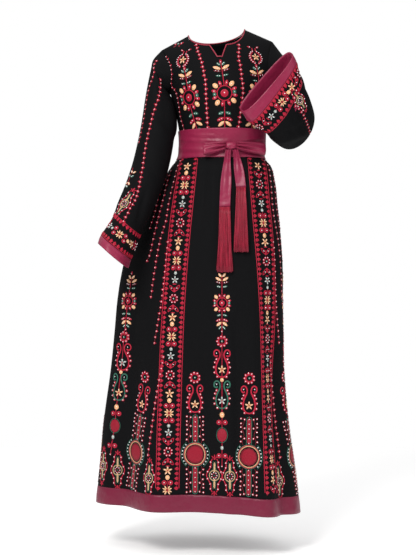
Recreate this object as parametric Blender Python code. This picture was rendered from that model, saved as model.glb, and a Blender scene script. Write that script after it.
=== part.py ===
"""Embroidered thobe dress, worn pose, hollow: black crepe bodice, skirt and bell sleeves, satin cuffs, hem and belt.

Metres, +Z up. The wearer faces -Y, so the wearer's right side is at -X and the left side at +X.
The origin is the base of the neck, midway between the two points where the shoulder seams meet the neckline.
Each piece of cloth is a thin wall: an outer grid of points, and the same grid moved in by the cloth's thickness.
"""

import math
from collections import namedtuple

import bmesh
import bpy
import numpy as np
from mathutils import Vector

# Driving sizes
CREPE = 0.0015
SATIN = 0.0013
BELT_THICK = 0.0022
SEAM_GAP = 0.0004
LAYER_GAP = 0.0005

WAIST_Z = -0.325
HEM_TOP_Z = -1.295
HEM_Z = -1.343
HEM_DIP = 0.016
HEM_DIP_START = -0.90
BELT_TOP_Z = -0.281
BELT_BOTTOM_Z = -0.3615
FACING_DEPTH_ROWS = 3
SHARP_ANGLE = math.radians(50)

# Grid counts
SHOULDER_STEPS = 4
ROUND_STEPS = 6
BACK_NECK_STEPS = 8
BODICE_ROWS = 14
UNDERARM_ROW = 8
SLEEVE_COLUMNS = 24
FRONT_COLUMNS = 30
BACK_COLUMNS = 22

# The garment's cross-sections at each height. right and left are the reach from the middle towards -X and +X,
# front and back the reach towards -Y and +Y, and turn swings the section round towards the wearer's right.
BodySection = namedtuple("BodySection", "z right left front back middle turn")
BODY_SECTIONS = [BodySection(*row) for row in (
    (0.040, 0.152, 0.142, 0.070, 0.058, 0.002, 0.10),
    (0.000, 0.162, 0.150, 0.073, 0.064, 0.003, 0.10),
    (-0.050, 0.172, 0.157, 0.085, 0.083, 0.005, 0.10),
    (-0.100, 0.166, 0.156, 0.104, 0.098, 0.008, 0.10),
    (-0.150, 0.153, 0.147, 0.117, 0.101, 0.011, 0.10),
    (-0.190, 0.142, 0.137, 0.120, 0.096, 0.0125, 0.10),
    (-0.235, 0.131, 0.1275, 0.115, 0.088, 0.0135, 0.10),
    (-0.285, 0.1225, 0.122, 0.104, 0.083, 0.0145, 0.10),
    (-0.325, 0.1215, 0.121, 0.100, 0.083, 0.0145, 0.10),
    (-0.362, 0.1285, 0.122, 0.102, 0.089, 0.014, 0.11),
    (-0.376, 0.140, 0.135, 0.111, 0.099, 0.0135, 0.11),
    (-0.425, 0.172, 0.151, 0.122, 0.122, 0.013, 0.12),
    (-0.493, 0.217, 0.159, 0.132, 0.145, 0.0127, 0.13),
    (-0.582, 0.258, 0.168, 0.140, 0.155, 0.0127, 0.14),
    (-0.665, 0.283, 0.173, 0.145, 0.158, 0.0127, 0.15),
    (-0.758, 0.298, 0.173, 0.148, 0.162, 0.0127, 0.15),
    (-0.849, 0.305, 0.174, 0.150, 0.168, 0.0127, 0.15),
    (-0.958, 0.314, 0.175, 0.152, 0.178, 0.0127, 0.15),
    (-1.104, 0.331, 0.187, 0.157, 0.192, 0.0127, 0.15),
    (-1.227, 0.340, 0.205, 0.162, 0.206, 0.0127, 0.15),
    (-1.343, 0.351, 0.219, 0.166, 0.222, 0.0127, 0.15),
)]

# The skirt's largest folds: angle round from the front middle towards the wearer's left and half width, in degrees,
# height at the hem (a trough is negative), and the level where the fold begins.
Fold = namedtuple("Fold", "angle width height start")
SKIRT_FOLDS = [Fold(*row) for row in (
    (-90.0, 13.0, 0.010, -0.70),
    (-55.0, 11.0, -0.024, -0.62),
    (-31.0, 11.0, 0.034, -0.55),
    (-11.0, 9.0, -0.008, -0.75),
    (4.0, 9.0, 0.006, -0.85),
    (14.0, 8.0, -0.008, -0.80),
    (32.0, 12.0, 0.026, -0.60),
    (57.0, 11.0, -0.020, -0.65),
    (92.0, 12.0, 0.004, -0.70),
    (114.0, 9.0, -0.026, -0.55),
    (134.0, 9.0, 0.026, -0.60),
    (153.0, 8.0, -0.022, -0.70),
    (171.0, 9.0, 0.028, -0.55),
    (-170.0, 8.0, -0.018, -0.65),
    (-151.0, 9.0, 0.030, -0.60),
    (-131.0, 8.0, -0.024, -0.55),
    (-112.0, 9.0, 0.024, -0.65),
)]

# Levels of the skirt's rows of points, from the waist seam to the hem band and the hem
SKIRT_LEVELS = (-0.325, -0.343, -0.3615, -0.378, -0.400, -0.440, -0.493, -0.582, -0.680, -0.790, -0.910, -1.040,
                -1.170, -1.295)

# Neckline and shoulders, seen from the front, as (x, z)
RIGHT_TIP = (-0.158, -0.047)
RIGHT_NECK = (-0.083, -0.008)
RIGHT_NOTCH = (-0.023, -0.048)
RIGHT_NOTCH_FOOT = (-0.0014, -0.083)
LEFT_NOTCH_FOOT = (0.0154, -0.083)
LEFT_NOTCH = (0.0274, -0.047)
LEFT_NECK = (0.080, 0.007)
LEFT_TIP = (0.157, -0.028)
BACK_NECK_DROP = 0.022
NECK_RISE = 0.022
SHOULDER_ROLL = 0.095
ROLL_POWER = 0.62
ARMHOLE_CUT = 0.13
BINDING_RADIUS = 0.0017
BINDING_SIDES = 5

# The wearer's right sleeve hangs. Each section runs from its outer edge to its inner edge, with a centre depth y
# and a half depth deep. square under 1 makes the section boxier than an ellipse.
HangingSection = namedtuple("HangingSection", "outer_x outer_z inner_x inner_z y deep square")
HANGING_SECTIONS = [HangingSection(*row) for row in (
    (-0.181, -0.074, -0.1480, -0.174, 0.012, 0.054, 1.0),
    (-0.189, -0.106, -0.1385, -0.190, 0.004, 0.058, 1.0),
    (-0.202, -0.176, -0.1255, -0.234, -0.012, 0.062, 1.0),
    (-0.216, -0.272, -0.1215, -0.300, -0.032, 0.060, 1.0),
    (-0.235, -0.364, -0.1370, -0.392, -0.052, 0.058, 1.0),
    (-0.256, -0.434, -0.1610, -0.464, -0.072, 0.058, 1.0),
    (-0.277, -0.489, -0.1880, -0.530, -0.093, 0.060, 1.0),
    (-0.292, -0.534, -0.2180, -0.592, -0.111, 0.070, 0.95),
    (-0.321, -0.580, -0.2380, -0.648, -0.128, 0.080, 0.9),
    (-0.329, -0.602, -0.2450, -0.671, -0.134, 0.084, 0.9),
)]

# The wearer's left sleeve is raised: it runs from the shoulder down behind, turns at the elbow and comes up in front
# to the cuff. Each section runs from its arm edge to its hanging edge. fan turns its depth from +Y (180) through
# straight down (90) to -Y (0), as the sleeve goes round the elbow.
RaisedSection = namedtuple("RaisedSection", "arm_x arm_z hang_x hang_z y deep fan square")
RAISED_SECTIONS = [RaisedSection(*row) for row in (
    (0.193, -0.072, 0.1610, -0.200, -0.004, 0.058, 180.0, 1.0),
    (0.243, -0.124, 0.1680, -0.252, 0.014, 0.054, 165.0, 1.0),
    (0.252, -0.186, 0.1700, -0.302, -0.006, 0.050, 135.0, 1.0),
    (0.255, -0.210, 0.1860, -0.333, -0.058, 0.047, 90.0, 1.0),
    (0.242, -0.180, 0.1580, -0.320, -0.110, 0.048, 50.0, 0.9),
    (0.229, -0.152, 0.1330, -0.297, -0.138, 0.043, 14.0, 0.75),
    (0.214, -0.103, 0.0880, -0.270, -0.156, 0.034, 26.0, 0.68),
    (0.202, -0.082, 0.0650, -0.240, -0.168, 0.029, 38.0, 0.66),
)]

# Rows of points on each sleeve, as places along its sections: 0 is the armhole
HANGING_ROWS = (0.0, 1.0, 2.0, 2.6, 3.3, 4.0, 4.7, 5.4, 6.0, 6.6, 7.2, 8.0, 9.0, 10.0)
RAISED_ROWS = (0.0, 0.5, 1.0, 1.5, 2.0, 2.5, 3.0, 3.5, 4.0, 4.5, 5.0, 5.5, 6.0, 6.5, 7.0, 8.0)

# Belt and bow
BELT_CLEAR = 0.0009
BELT_LEVELS = (BELT_TOP_Z, -0.300, -0.322, -0.343, BELT_BOTTOM_Z)
KNOT_X = 0.0385
KNOT_Z = -0.331
KNOT_SIZE = (0.030, 0.018, 0.021)
KNOT_SETBACK = 0.0002
LOOP_STEPS = 22
Loop = namedtuple("Loop", "side reach_x reach_y tip_drop root_half tip_half bulge")
BOW_LOOPS = {
    "bow_loop_left": Loop(1.0, 0.083, 0.030, 0.008, 0.0085, 0.0165, 0.011),
    "bow_loop_right": Loop(-1.0, 0.063, 0.000, 0.010, 0.0085, 0.0165, 0.010),
}
LOOP_GAP = -0.0002
LOOP_ROUND = 0.002
Tail = namedtuple("Tail", "top_x foot_x foot_z top_half foot_half")
BOW_TAILS = {
    "bow_tail_left": Tail(0.0490, 0.0655, -0.447, 0.0075, 0.0138),
    "bow_tail_right": Tail(0.0310, 0.0205, -0.502, 0.0075, 0.0150),
}
TAIL_TOP_Z = -0.3420
TAIL_ROWS = 12
TAIL_FOLDS = 4
TAIL_CLEAR = 0.0030
TAIL_CREASE = 0.0035
TAIL_WAVE = 0.0008

# Tassels, one sewn to each tail
TASSEL_OF = {"tassel_left": "bow_tail_left", "tassel_right": "bow_tail_right"}
TASSEL_LENGTH = 0.179
TASSEL_HEAD = 0.010
STRANDS_ACROSS = 12
STRANDS_DEEP = 3
TASSEL_DEPTH = 0.009
STRAND_INSET = 0.00035
STRAND_JOINTS = (0.4, 1.0)
STRAND_SWAY = 0.0008
STRAND_UNEVEN = 0.004
TASSEL_SPLAY = 1.55

BLACK_CREPE = ("black_crepe", (0.012, 0.012, 0.014), 0.75)
WINE_SATIN = ("wine_satin", (0.27, 0.026, 0.075), 0.32)
CRIMSON_BINDING = ("crimson_binding", (0.42, 0.012, 0.04), 0.5)
CRIMSON_THREAD = ("crimson_thread", (0.38, 0.030, 0.070), 0.45)


def clear_scene():
    for leftover in list(bpy.data.objects):
        bpy.data.objects.remove(leftover, do_unlink=True)


def through(places, values, at):
    """A smooth curve through values at rising places, read at each place asked for."""
    places = np.asarray(places, float)
    values = np.asarray(values, float)
    slopes = np.gradient(values, places, axis=0)
    at = np.clip(np.asarray(at, float), places[0], places[-1])
    low = np.clip(np.searchsorted(places, at, side="right") - 1, 0, len(places) - 2)
    span = places[low + 1] - places[low]
    t = (at - places[low]) / span
    spread = t.shape + (1,) * (values.ndim - 1)
    t, span = t.reshape(spread), span.reshape(spread)
    start = (1 + 2 * t) * (1 - t) ** 2 * values[low] + t * (1 - t) ** 2 * span * slopes[low]
    end = t * t * (3 - 2 * t) * values[low + 1] + t * t * (t - 1) * span * slopes[low + 1]
    return start + end


def body_size(name, z):
    """A size of the garment's cross-section at height z."""
    levels = [-section.z for section in BODY_SECTIONS]
    sizes = [getattr(section, name) for section in BODY_SECTIONS]
    return through(levels, sizes, -np.asarray(z, float))


def ease(t):
    t = np.clip(t, 0.0, 1.0)
    return t * t * (3 - 2 * t)


def fold_height(angle, z):
    """How far the skirt's folds stand out from its plain section."""
    total = np.zeros(np.broadcast(angle, z).shape)
    for fold in SKIRT_FOLDS:
        apart = (angle - fold.angle + 180.0) % 360.0 - 180.0
        along = np.clip((fold.start - z) / (fold.start - HEM_Z), 0, 1)
        growth = 0.75 * ease(along) + 0.25 * np.sqrt(along)
        total = total + fold.height * growth * np.exp(-((apart / fold.width) ** 2))
    return total


def body_point(angle, z, out=0.0):
    """A point on the garment below the chest: angle in degrees from the front middle towards the wearer's left."""
    angle, z = np.broadcast_arrays(np.asarray(angle, float), np.asarray(z, float))
    sine, cosine = np.sin(np.radians(angle)), np.cos(np.radians(angle))
    across = np.where(sine >= 0, body_size("left", z), body_size("right", z))
    deep = np.where(cosine >= 0, body_size("front", z), body_size("back", z))
    normal_x, normal_y = sine / across, -cosine / deep
    length = np.hypot(normal_x, normal_y)
    away = fold_height(angle, z) + out
    offset = across * sine
    x = body_size("middle", z) + offset + away * normal_x / length
    y = -deep * cosine + away * normal_y / length - body_size("turn", z) * offset
    return np.stack([x, y, z], axis=-1)


def front_surface_y(x, z):
    """Depth of the garment's front at a given x and z."""
    offset = x - body_size("middle", z)
    reach = body_size("left", z) if offset >= 0 else body_size("right", z)
    angle = math.degrees(math.asin(max(-1.0, min(1.0, float(offset / reach)))))
    return float(body_point(angle, z)[1])


def straight(start, end, steps):
    """Points from start up to, but not including, end."""
    return [tuple(np.array(start) + (np.array(end) - np.array(start)) * k / steps) for k in range(steps)]


def quarter_round(neck, notch, steps):
    """The neckline's round stretch, from the neck point down to the notch."""
    points = []
    for k in range(steps):
        turn = 0.5 * math.pi * k / steps
        x = notch[0] + (neck[0] - notch[0]) * math.cos(turn)
        z = neck[1] + (notch[1] - neck[1]) * math.sin(turn)
        points.append((x, z))
    return points


def front_top_edge():
    """Shoulder, round neck, V notch, round neck and shoulder, from the wearer's right to the left, as (x, z)."""
    left_round = quarter_round(LEFT_NECK, LEFT_NOTCH, ROUND_STEPS)
    points = straight(RIGHT_TIP, RIGHT_NECK, SHOULDER_STEPS)
    points += quarter_round(RIGHT_NECK, RIGHT_NOTCH, ROUND_STEPS)
    points += [RIGHT_NOTCH, RIGHT_NOTCH_FOOT, LEFT_NOTCH_FOOT, LEFT_NOTCH]
    points += left_round[::-1]
    points += straight(LEFT_TIP, LEFT_NECK, SHOULDER_STEPS)[::-1]
    return np.array(points)


def back_top_edge():
    """Shoulder, shallow back neck and shoulder, from the wearer's right to the left, as (x, z)."""
    points = straight(RIGHT_TIP, RIGHT_NECK, SHOULDER_STEPS)
    for k in range(BACK_NECK_STEPS):
        share = 0.5 - 0.5 * math.cos(math.pi * k / BACK_NECK_STEPS)
        x = RIGHT_NECK[0] + (LEFT_NECK[0] - RIGHT_NECK[0]) * share
        z = RIGHT_NECK[1] + (LEFT_NECK[1] - RIGHT_NECK[1]) * share
        points.append((x, z - BACK_NECK_DROP * math.sin(math.pi * k / BACK_NECK_STEPS)))
    points += [LEFT_NECK]
    points += straight(LEFT_TIP, LEFT_NECK, SHOULDER_STEPS)[::-1]
    return np.array(points)


def shoulder_ridge(x):
    """Height of the shoulder line over x. It keeps rising between the neck points, where the neck is open."""
    line_x = (RIGHT_TIP[0], RIGHT_NECK[0], LEFT_NECK[0], LEFT_TIP[0])
    line_z = (RIGHT_TIP[1], RIGHT_NECK[1], LEFT_NECK[1], LEFT_TIP[1])
    middle = 0.5 * (RIGHT_NECK[0] + LEFT_NECK[0])
    half = 0.5 * (LEFT_NECK[0] - RIGHT_NECK[0])
    rise = NECK_RISE * np.clip(1 - ((x - middle) / half) ** 2, 0, 1)
    return np.interp(x, line_x, line_z) + rise


def bodice_grid(front):
    """Outer points of the bodice's front or back, rows from the waist seam up to the shoulders and neckline."""
    top = front_top_edge() if front else back_top_edge()
    columns = len(top)
    grid = np.zeros((BODICE_ROWS + 1, columns, 3))
    share = np.linspace(-1.0, 1.0, columns)
    top_half = np.where(
        top[:, 0] >= body_size("middle", top[:, 1]),
        body_size("left", top[:, 1]),
        body_size("right", top[:, 1]),
    )
    top_sine = (top[:, 0] - body_size("middle", top[:, 1])) / top_half
    for row in range(BODICE_ROWS + 1):
        v = row / BODICE_ROWS
        z = WAIST_Z + (top[:, 1] - WAIST_Z) * v
        above = max(0.0, (row - UNDERARM_ROW) / (BODICE_ROWS - UNDERARM_ROW))
        cut = ARMHOLE_CUT * math.sin(math.pi * above)
        sine = np.sin(share * math.pi / 2) * (1 - v * v) + top_sine * v * v
        if row <= UNDERARM_ROW:
            sine = sine / abs(sine).max()
        sine = sine * (1 - cut * abs(share) ** 3)
        half = np.where(share >= 0, body_size("left", z), body_size("right", z))
        offset = half * sine
        x = body_size("middle", z) + offset
        below = np.clip((shoulder_ridge(x) - z) / SHOULDER_ROLL, 0, 1)
        roll = (1 - (1 - below) ** 2) ** ROLL_POWER
        deep = body_size("front" if front else "back", z) * np.sqrt(np.clip(1 - sine * sine, 0, 1)) * roll
        y = (-deep if front else deep) - body_size("turn", z) * offset
        grid[row] = np.stack([x, y, z], axis=-1)
    return grid


def unit(vectors):
    return vectors / np.maximum(np.linalg.norm(vectors, axis=-1, keepdims=True), 1e-12)


def grid_normals(grid, closed, flip=False):
    """Normals of a grid of points from the differences along its rows and columns."""
    down = np.gradient(grid, axis=0)
    if closed:
        round_it = np.roll(grid, -1, axis=1) - np.roll(grid, 1, axis=1)
    else:
        round_it = np.gradient(grid, axis=1)
    normals = unit(np.cross(round_it, down))
    return -normals if flip else normals


def toward(edge, neighbour, distance):
    """Edge points moved towards their neighbours by a distance."""
    return unit(neighbour - edge) * distance


def trimmed(outer, inner, sides):
    """The two layers of a panel with the named edges drawn back by half a seam gap."""
    outer, inner = outer.copy(), inner.copy()
    half = 0.5 * SEAM_GAP
    if "first_row" in sides:
        step = toward(outer[0], outer[1], half)
        outer[0] += step
        inner[0] += step
    if "last_row" in sides:
        step = toward(outer[-1], outer[-2], half)
        outer[-1] += step
        inner[-1] += step
    if "first_column" in sides:
        step = toward(outer[:, 0], outer[:, 1], half)
        outer[:, 0] += step
        inner[:, 0] += step
    if "last_column" in sides:
        step = toward(outer[:, -1], outer[:, -2], half)
        outer[:, -1] += step
        inner[:, -1] += step
    return outer, inner


def plain_material(look):
    name, colour, roughness = look
    material = bpy.data.materials.get(name) or bpy.data.materials.new(name)
    material.use_nodes = True
    shader = material.node_tree.nodes["Principled BSDF"]
    shader.inputs["Base Color"].default_value = (*colour, 1.0)
    shader.inputs["Roughness"].default_value = roughness
    shader.inputs["Metallic"].default_value = 0.0
    return material


def add_object(name, bm, collection, look):
    """A bmesh as an object whose faces point out."""
    if bm.calc_volume(signed=True) < 0:
        bmesh.ops.reverse_faces(bm, faces=bm.faces[:])
    mesh = bpy.data.meshes.new(name)
    bm.to_mesh(mesh)
    bm.free()
    mesh.shade_smooth()
    mesh.set_sharp_from_angle(angle=SHARP_ANGLE)
    mesh.materials.append(plain_material(look))
    made = bpy.data.objects.new(name, mesh)
    collection.objects.link(made)
    return made


def wall(name, outer, inner, closed, collection, look):
    """A wall of cloth between two layers of points. A closed wall's columns run all the way round."""
    rows, columns = outer.shape[:2]
    bm = bmesh.new()
    out = [[bm.verts.new(p) for p in row] for row in outer.tolist()]
    into = [[bm.verts.new(p) for p in row] for row in inner.tolist()]
    across = range(columns if closed else columns - 1)
    for r in range(rows - 1):
        for c in across:
            d = (c + 1) % columns
            bm.faces.new((out[r][c], out[r][d], out[r + 1][d], out[r + 1][c]))
            bm.faces.new((into[r][c], into[r + 1][c], into[r + 1][d], into[r][d]))
    for c in across:
        d = (c + 1) % columns
        bm.faces.new((out[0][d], out[0][c], into[0][c], into[0][d]))
        bm.faces.new((out[-1][c], out[-1][d], into[-1][d], into[-1][c]))
    if not closed:
        for r in range(rows - 1):
            bm.faces.new((out[r][0], out[r + 1][0], into[r + 1][0], into[r][0]))
            bm.faces.new((out[r + 1][-1], out[r][-1], into[r][-1], into[r + 1][-1]))
    return add_object(name, bm, collection, look)


def bodice_layers():
    """Outer and inner points of the bodice's front and back, which share their normals along the seams."""
    front, back = bodice_grid(True), bodice_grid(False)
    front_normals = grid_normals(front, closed=False)
    back_normals = grid_normals(back, closed=False, flip=True)
    for column in (0, -1):
        seam = unit(front_normals[: UNDERARM_ROW + 1, column] + back_normals[: UNDERARM_ROW + 1, column])
        front_normals[: UNDERARM_ROW + 1, column] = seam
        back_normals[: UNDERARM_ROW + 1, column] = seam
    for columns in (slice(0, SHOULDER_STEPS + 1), slice(-SHOULDER_STEPS - 1, None)):
        seam = unit(front_normals[-1, columns] + back_normals[-1, columns])
        front_normals[-1, columns] = seam
        back_normals[-1, columns] = seam
    return {
        "front": (front, front - CREPE * front_normals, front_normals),
        "back": (back, back - CREPE * back_normals, back_normals),
    }


def with_seam_gaps(outer, inner):
    """Bodice layers drawn back at the waist, the side seams and the shoulder seams, but not at the armholes."""
    outer, inner = outer.copy(), inner.copy()
    half = 0.5 * SEAM_GAP
    for column, beside in ((0, 1), (-1, -2)):
        rows = slice(0, UNDERARM_ROW + 1)
        step = toward(outer[rows, column], outer[rows, beside], half)
        outer[rows, column] += step
        inner[rows, column] += step
    for columns in (slice(0, SHOULDER_STEPS + 1), slice(-SHOULDER_STEPS - 1, None)):
        step = toward(outer[-1, columns], outer[-2, columns], half)
        outer[-1, columns] += step
        inner[-1, columns] += step
    outer[0, :, 2] += half
    inner[0, :, 2] += half
    return outer, inner


def make_bodice(layers, collection):
    for side in ("front", "back"):
        outer, inner = with_seam_gaps(*layers[side][:2])
        wall("bodice_" + side, outer, inner, False, collection, BLACK_CREPE)


def skirt_angles():
    """The angles of the skirt's columns of points: the front from side seam to side seam, then the back."""
    front_angles = np.linspace(-90.0, 90.0, FRONT_COLUMNS + 1)
    back_angles = np.linspace(90.0, 270.0, BACK_COLUMNS + 1)[1:-1]
    return np.concatenate([front_angles, back_angles])


def skirt_layers():
    """Outer and inner points of the whole skirt, all the way round, from the waist seam to the hem."""
    angles = skirt_angles()
    levels = np.array(SKIRT_LEVELS + (0.5 * (HEM_TOP_Z + HEM_Z), HEM_Z))
    outer = body_point(angles[None, :], levels[:, None])
    dip = ease((HEM_DIP_START - levels) / (HEM_DIP_START - HEM_Z))[:, None]
    outer[:, :, 2] -= HEM_DIP * dip * np.clip(np.sin(np.radians(angles)), 0, 1)
    return outer, outer - CREPE * grid_normals(outer, closed=True, flip=True)


def make_skirt(collection):
    outer, inner = skirt_layers()
    rows = slice(0, len(SKIRT_LEVELS))
    front = slice(0, FRONT_COLUMNS + 1)
    sides = ("first_row", "last_row", "first_column", "last_column")
    wall("skirt_front", *trimmed(outer[rows, front], inner[rows, front], sides), False, collection, BLACK_CREPE)
    back = list(range(FRONT_COLUMNS, FRONT_COLUMNS + BACK_COLUMNS)) + [0]
    wall("skirt_back", *trimmed(outer[rows][:, back], inner[rows][:, back], sides), False, collection, BLACK_CREPE)
    hem = slice(len(SKIRT_LEVELS) - 1, None)
    wall("hem_band", *trimmed(outer[hem], inner[hem], ("first_row",)), True, collection, WINE_SATIN)


def armhole_loop(layers, right):
    """Points and normals round an armhole, two for each step of the bodice's rows, starting at the shoulder tip.

    The loop goes down the front first on the wearer's right and down the back first on the left.
    """
    column = 0 if right else -1
    first, second = ("front", "back") if right else ("back", "front")
    down = [(layers[first][0][r, column], layers[first][2][r, column]) for r in range(BODICE_ROWS, UNDERARM_ROW, -1)]
    up = [(layers[second][0][r, column], layers[second][2][r, column]) for r in range(UNDERARM_ROW, BODICE_ROWS)]
    corners = down + up
    points, normals = [], []
    for k, (point, normal) in enumerate(corners):
        next_point, next_normal = corners[(k + 1) % len(corners)]
        points += [point, 0.5 * (point + next_point)]
        normals += [normal, unit(normal + next_normal)]
    return np.array(points), np.array(normals)


def boxed(value, square):
    return np.sign(value) * np.abs(value) ** square


def section_ring(centre, to_side, to_face, square):
    """One closed section of a sleeve: an ellipse, or a boxier curve, through the two half axes."""
    turn = 2 * math.pi * np.arange(SLEEVE_COLUMNS) / SLEEVE_COLUMNS
    side = boxed(np.cos(turn), square)[:, None]
    face = boxed(np.sin(turn), square)[:, None]
    return centre + side * to_side + face * to_face


def hanging_rings():
    rings = []
    for at in HANGING_SECTIONS:
        centre = np.array([0.5 * (at.outer_x + at.inner_x), at.y, 0.5 * (at.outer_z + at.inner_z)])
        to_outer = np.array([0.5 * (at.outer_x - at.inner_x), 0.0, 0.5 * (at.outer_z - at.inner_z)])
        rings.append(section_ring(centre, to_outer, np.array([0.0, -at.deep, 0.0]), at.square))
    return rings


def raised_rings():
    rings = []
    for at in RAISED_SECTIONS:
        centre = np.array([0.5 * (at.arm_x + at.hang_x), at.y, 0.5 * (at.arm_z + at.hang_z)])
        to_arm = np.array([0.5 * (at.arm_x - at.hang_x), 0.0, 0.5 * (at.arm_z - at.hang_z)])
        along = unit(to_arm)
        outward = np.array([along[2], 0.0, -along[0]])
        spread = math.radians(at.fan)
        to_face = at.deep * (math.sin(spread) * outward - math.cos(spread) * np.array([0.0, 1.0, 0.0]))
        rings.append(section_ring(centre, to_arm, to_face, at.square))
    return rings


def sleeve_layers(layers, right):
    """Outer and inner points of a sleeve, from the armhole to the cuff's edge."""
    loop, bodice_normals = armhole_loop(layers, right)
    lateral = np.array([-1.0 if right else 1.0, 0.0, 0.0])
    rings = [loop + SEAM_GAP * lateral] + (hanging_rings() if right else raised_rings())
    places = np.arange(len(rings))
    outer = through(places, np.array(rings), HANGING_ROWS if right else RAISED_ROWS)
    outer[0] = rings[0]
    normals = grid_normals(outer, closed=True, flip=True)
    surplus = np.maximum(normals[0] @ lateral - bodice_normals @ lateral, 0.0)
    normals[0] = unit(normals[0] - surplus[:, None] * lateral)
    return outer, outer - CREPE * normals, normals


def make_sleeve(layers, side, collection):
    outer, inner, normals = sleeve_layers(layers, side == "right")
    sleeve = slice(0, -1)
    wall("sleeve_" + side, *trimmed(outer[sleeve], inner[sleeve], ("last_row",)), True, collection, BLACK_CREPE)
    cuff = slice(-2, None)
    cuff_inner = outer[cuff] - SATIN * normals[cuff]
    wall("cuff_band_" + side, *trimmed(outer[cuff], cuff_inner, ("first_row",)), True, collection, WINE_SATIN)
    facing = slice(-1 - FACING_DEPTH_ROWS, None)
    facing_outer = outer[facing] - (CREPE + LAYER_GAP) * normals[facing]
    facing_inner = facing_outer - SATIN * normals[facing]
    wall("cuff_facing_" + side, facing_outer, facing_inner, True, collection, WINE_SATIN)


def make_neck_binding(layers, collection):
    """A narrow corded binding along the neckline, notch included, just clear of the cloth's edge."""
    front, front_inner = layers["front"][:2]
    back, back_inner = layers["back"][:2]
    front_columns = range(SHOULDER_STEPS, front.shape[1] - SHOULDER_STEPS)
    back_columns = range(back.shape[1] - SHOULDER_STEPS - 2, SHOULDER_STEPS, -1)
    path = []
    for outer, inner, columns in ((front, front_inner, front_columns), (back, back_inner, back_columns)):
        for c in columns:
            edge = 0.5 * (outer[-1, c] + inner[-1, c])
            before = 0.5 * (outer[-1, c - 1] + inner[-1, c - 1])
            after = 0.5 * (outer[-1, c + 1] + inner[-1, c + 1])
            thickness = unit(outer[-1, c] - inner[-1, c])
            away = np.cross(thickness, unit(after - before))
            away = unit(away)
            if away @ (edge - outer[-2, c]) < 0:
                away = -away
            path.append((edge, away, thickness))
    edges = np.array([p[0] for p in path])
    ups = np.array([p[1] for p in path])
    along = unit(np.roll(edges, -1, axis=0) - np.roll(edges, 1, axis=0))
    corner = unit(np.roll(edges, -1, axis=0) - edges) * -unit(np.roll(edges, 1, axis=0) - edges)
    sharp = 1.0 / np.clip(np.sqrt(0.5 * (1 + corner.sum(axis=1))), 0.6, 1.0)
    centres = edges + ups * ((BINDING_RADIUS + LAYER_GAP) * sharp)[:, None]
    across = unit(np.cross(along, ups))
    bm = bmesh.new()
    rings = []
    for centre, up, side in zip(centres, ups, across):
        ring = []
        for k in range(BINDING_SIDES):
            turn = 2 * math.pi * k / BINDING_SIDES
            ring.append(bm.verts.new(centre + BINDING_RADIUS * (math.cos(turn) * up + math.sin(turn) * side)))
        rings.append(ring)
    for here, there in zip(rings, rings[1:] + rings[:1]):
        for k in range(BINDING_SIDES):
            n = (k + 1) % BINDING_SIDES
            bm.faces.new((here[k], here[n], there[n], there[k]))
    add_object("neck_binding", bm, collection, CRIMSON_BINDING)


def make_belt(collection):
    angles = skirt_angles()
    levels = np.array(BELT_LEVELS)
    inner = body_point(angles[None, :], levels[:, None], out=BELT_CLEAR)
    outer = body_point(angles[None, :], levels[:, None], out=BELT_CLEAR + BELT_THICK)
    wall("belt", outer, inner, True, collection, WINE_SATIN)


def belt_front_y(x, z):
    """Depth of the belt's outer face at x."""
    return front_surface_y(x, z) - BELT_CLEAR - BELT_THICK


def make_knot(collection):
    width, depth, height = KNOT_SIZE
    bm = bmesh.new()
    bmesh.ops.create_uvsphere(bm, u_segments=12, v_segments=8, radius=0.5)
    back = min(belt_front_y(KNOT_X + dx, KNOT_Z) for dx in (-0.012, 0.0, 0.012)) + KNOT_SETBACK
    centre = Vector((KNOT_X, back - 0.5 * depth, KNOT_Z))
    for v in bm.verts:
        boxy = Vector((boxed(2 * v.co.x, 0.8), boxed(2 * v.co.y, 0.8), boxed(2 * v.co.z, 0.8))) * 0.5
        v.co = centre + Vector((boxy.x * width, boxy.y * depth, boxy.z * height))
    add_object("bow_knot", bm, collection, WINE_SATIN)
    return centre


def make_loop(name, knot, collection):
    """A loop of ribbon: a closed strip that runs out from the knot, turns at its tip and comes back in front."""
    loop = BOW_LOOPS[name]
    root = (knot.x + loop.side * (0.5 * KNOT_SIZE[0] + LOOP_GAP), knot.y, knot.z)
    turn = 2 * math.pi * np.arange(LOOP_STEPS) / LOOP_STEPS
    out = 0.5 - 0.5 * np.cos(turn)
    swell = boxed(np.sin(turn), 0.6) * (0.45 + 0.55 * out)
    x = root[0] + loop.side * loop.reach_x * out
    y = root[1] + loop.reach_y * out**1.5 - loop.bulge * swell
    z = root[2] - loop.tip_drop * out
    half = loop.root_half + (loop.tip_half - loop.root_half) * np.sqrt(out)
    rows = []
    for share in (-1.0, 0.0, 1.0):
        rows.append(np.stack([x, y - LOOP_ROUND * (1 - share * share), z + share * half], axis=-1))
    outer = np.array(rows)
    normals = grid_normals(outer, closed=True)
    middle = outer.mean(axis=(0, 1))
    if ((outer - middle) * normals).sum() < 0:
        normals = -normals
    wall(name, outer, outer - SATIN * normals, True, collection, WINE_SATIN)


def tail_centre(name, z):
    """Where the middle of a tail or its tassel hangs: x and y at height z."""
    tail = BOW_TAILS[name]
    share = min(1.0, (TAIL_TOP_Z - z) / (TAIL_TOP_Z - tail.foot_z))
    x = tail.top_x + (tail.foot_x - tail.top_x) * share**0.7
    cloth = front_surface_y(x, z)
    if z > BELT_BOTTOM_Z - 0.010:
        cloth = min(cloth, belt_front_y(x, BELT_BOTTOM_Z))
    return x, cloth - TAIL_CLEAR - SATIN


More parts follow.
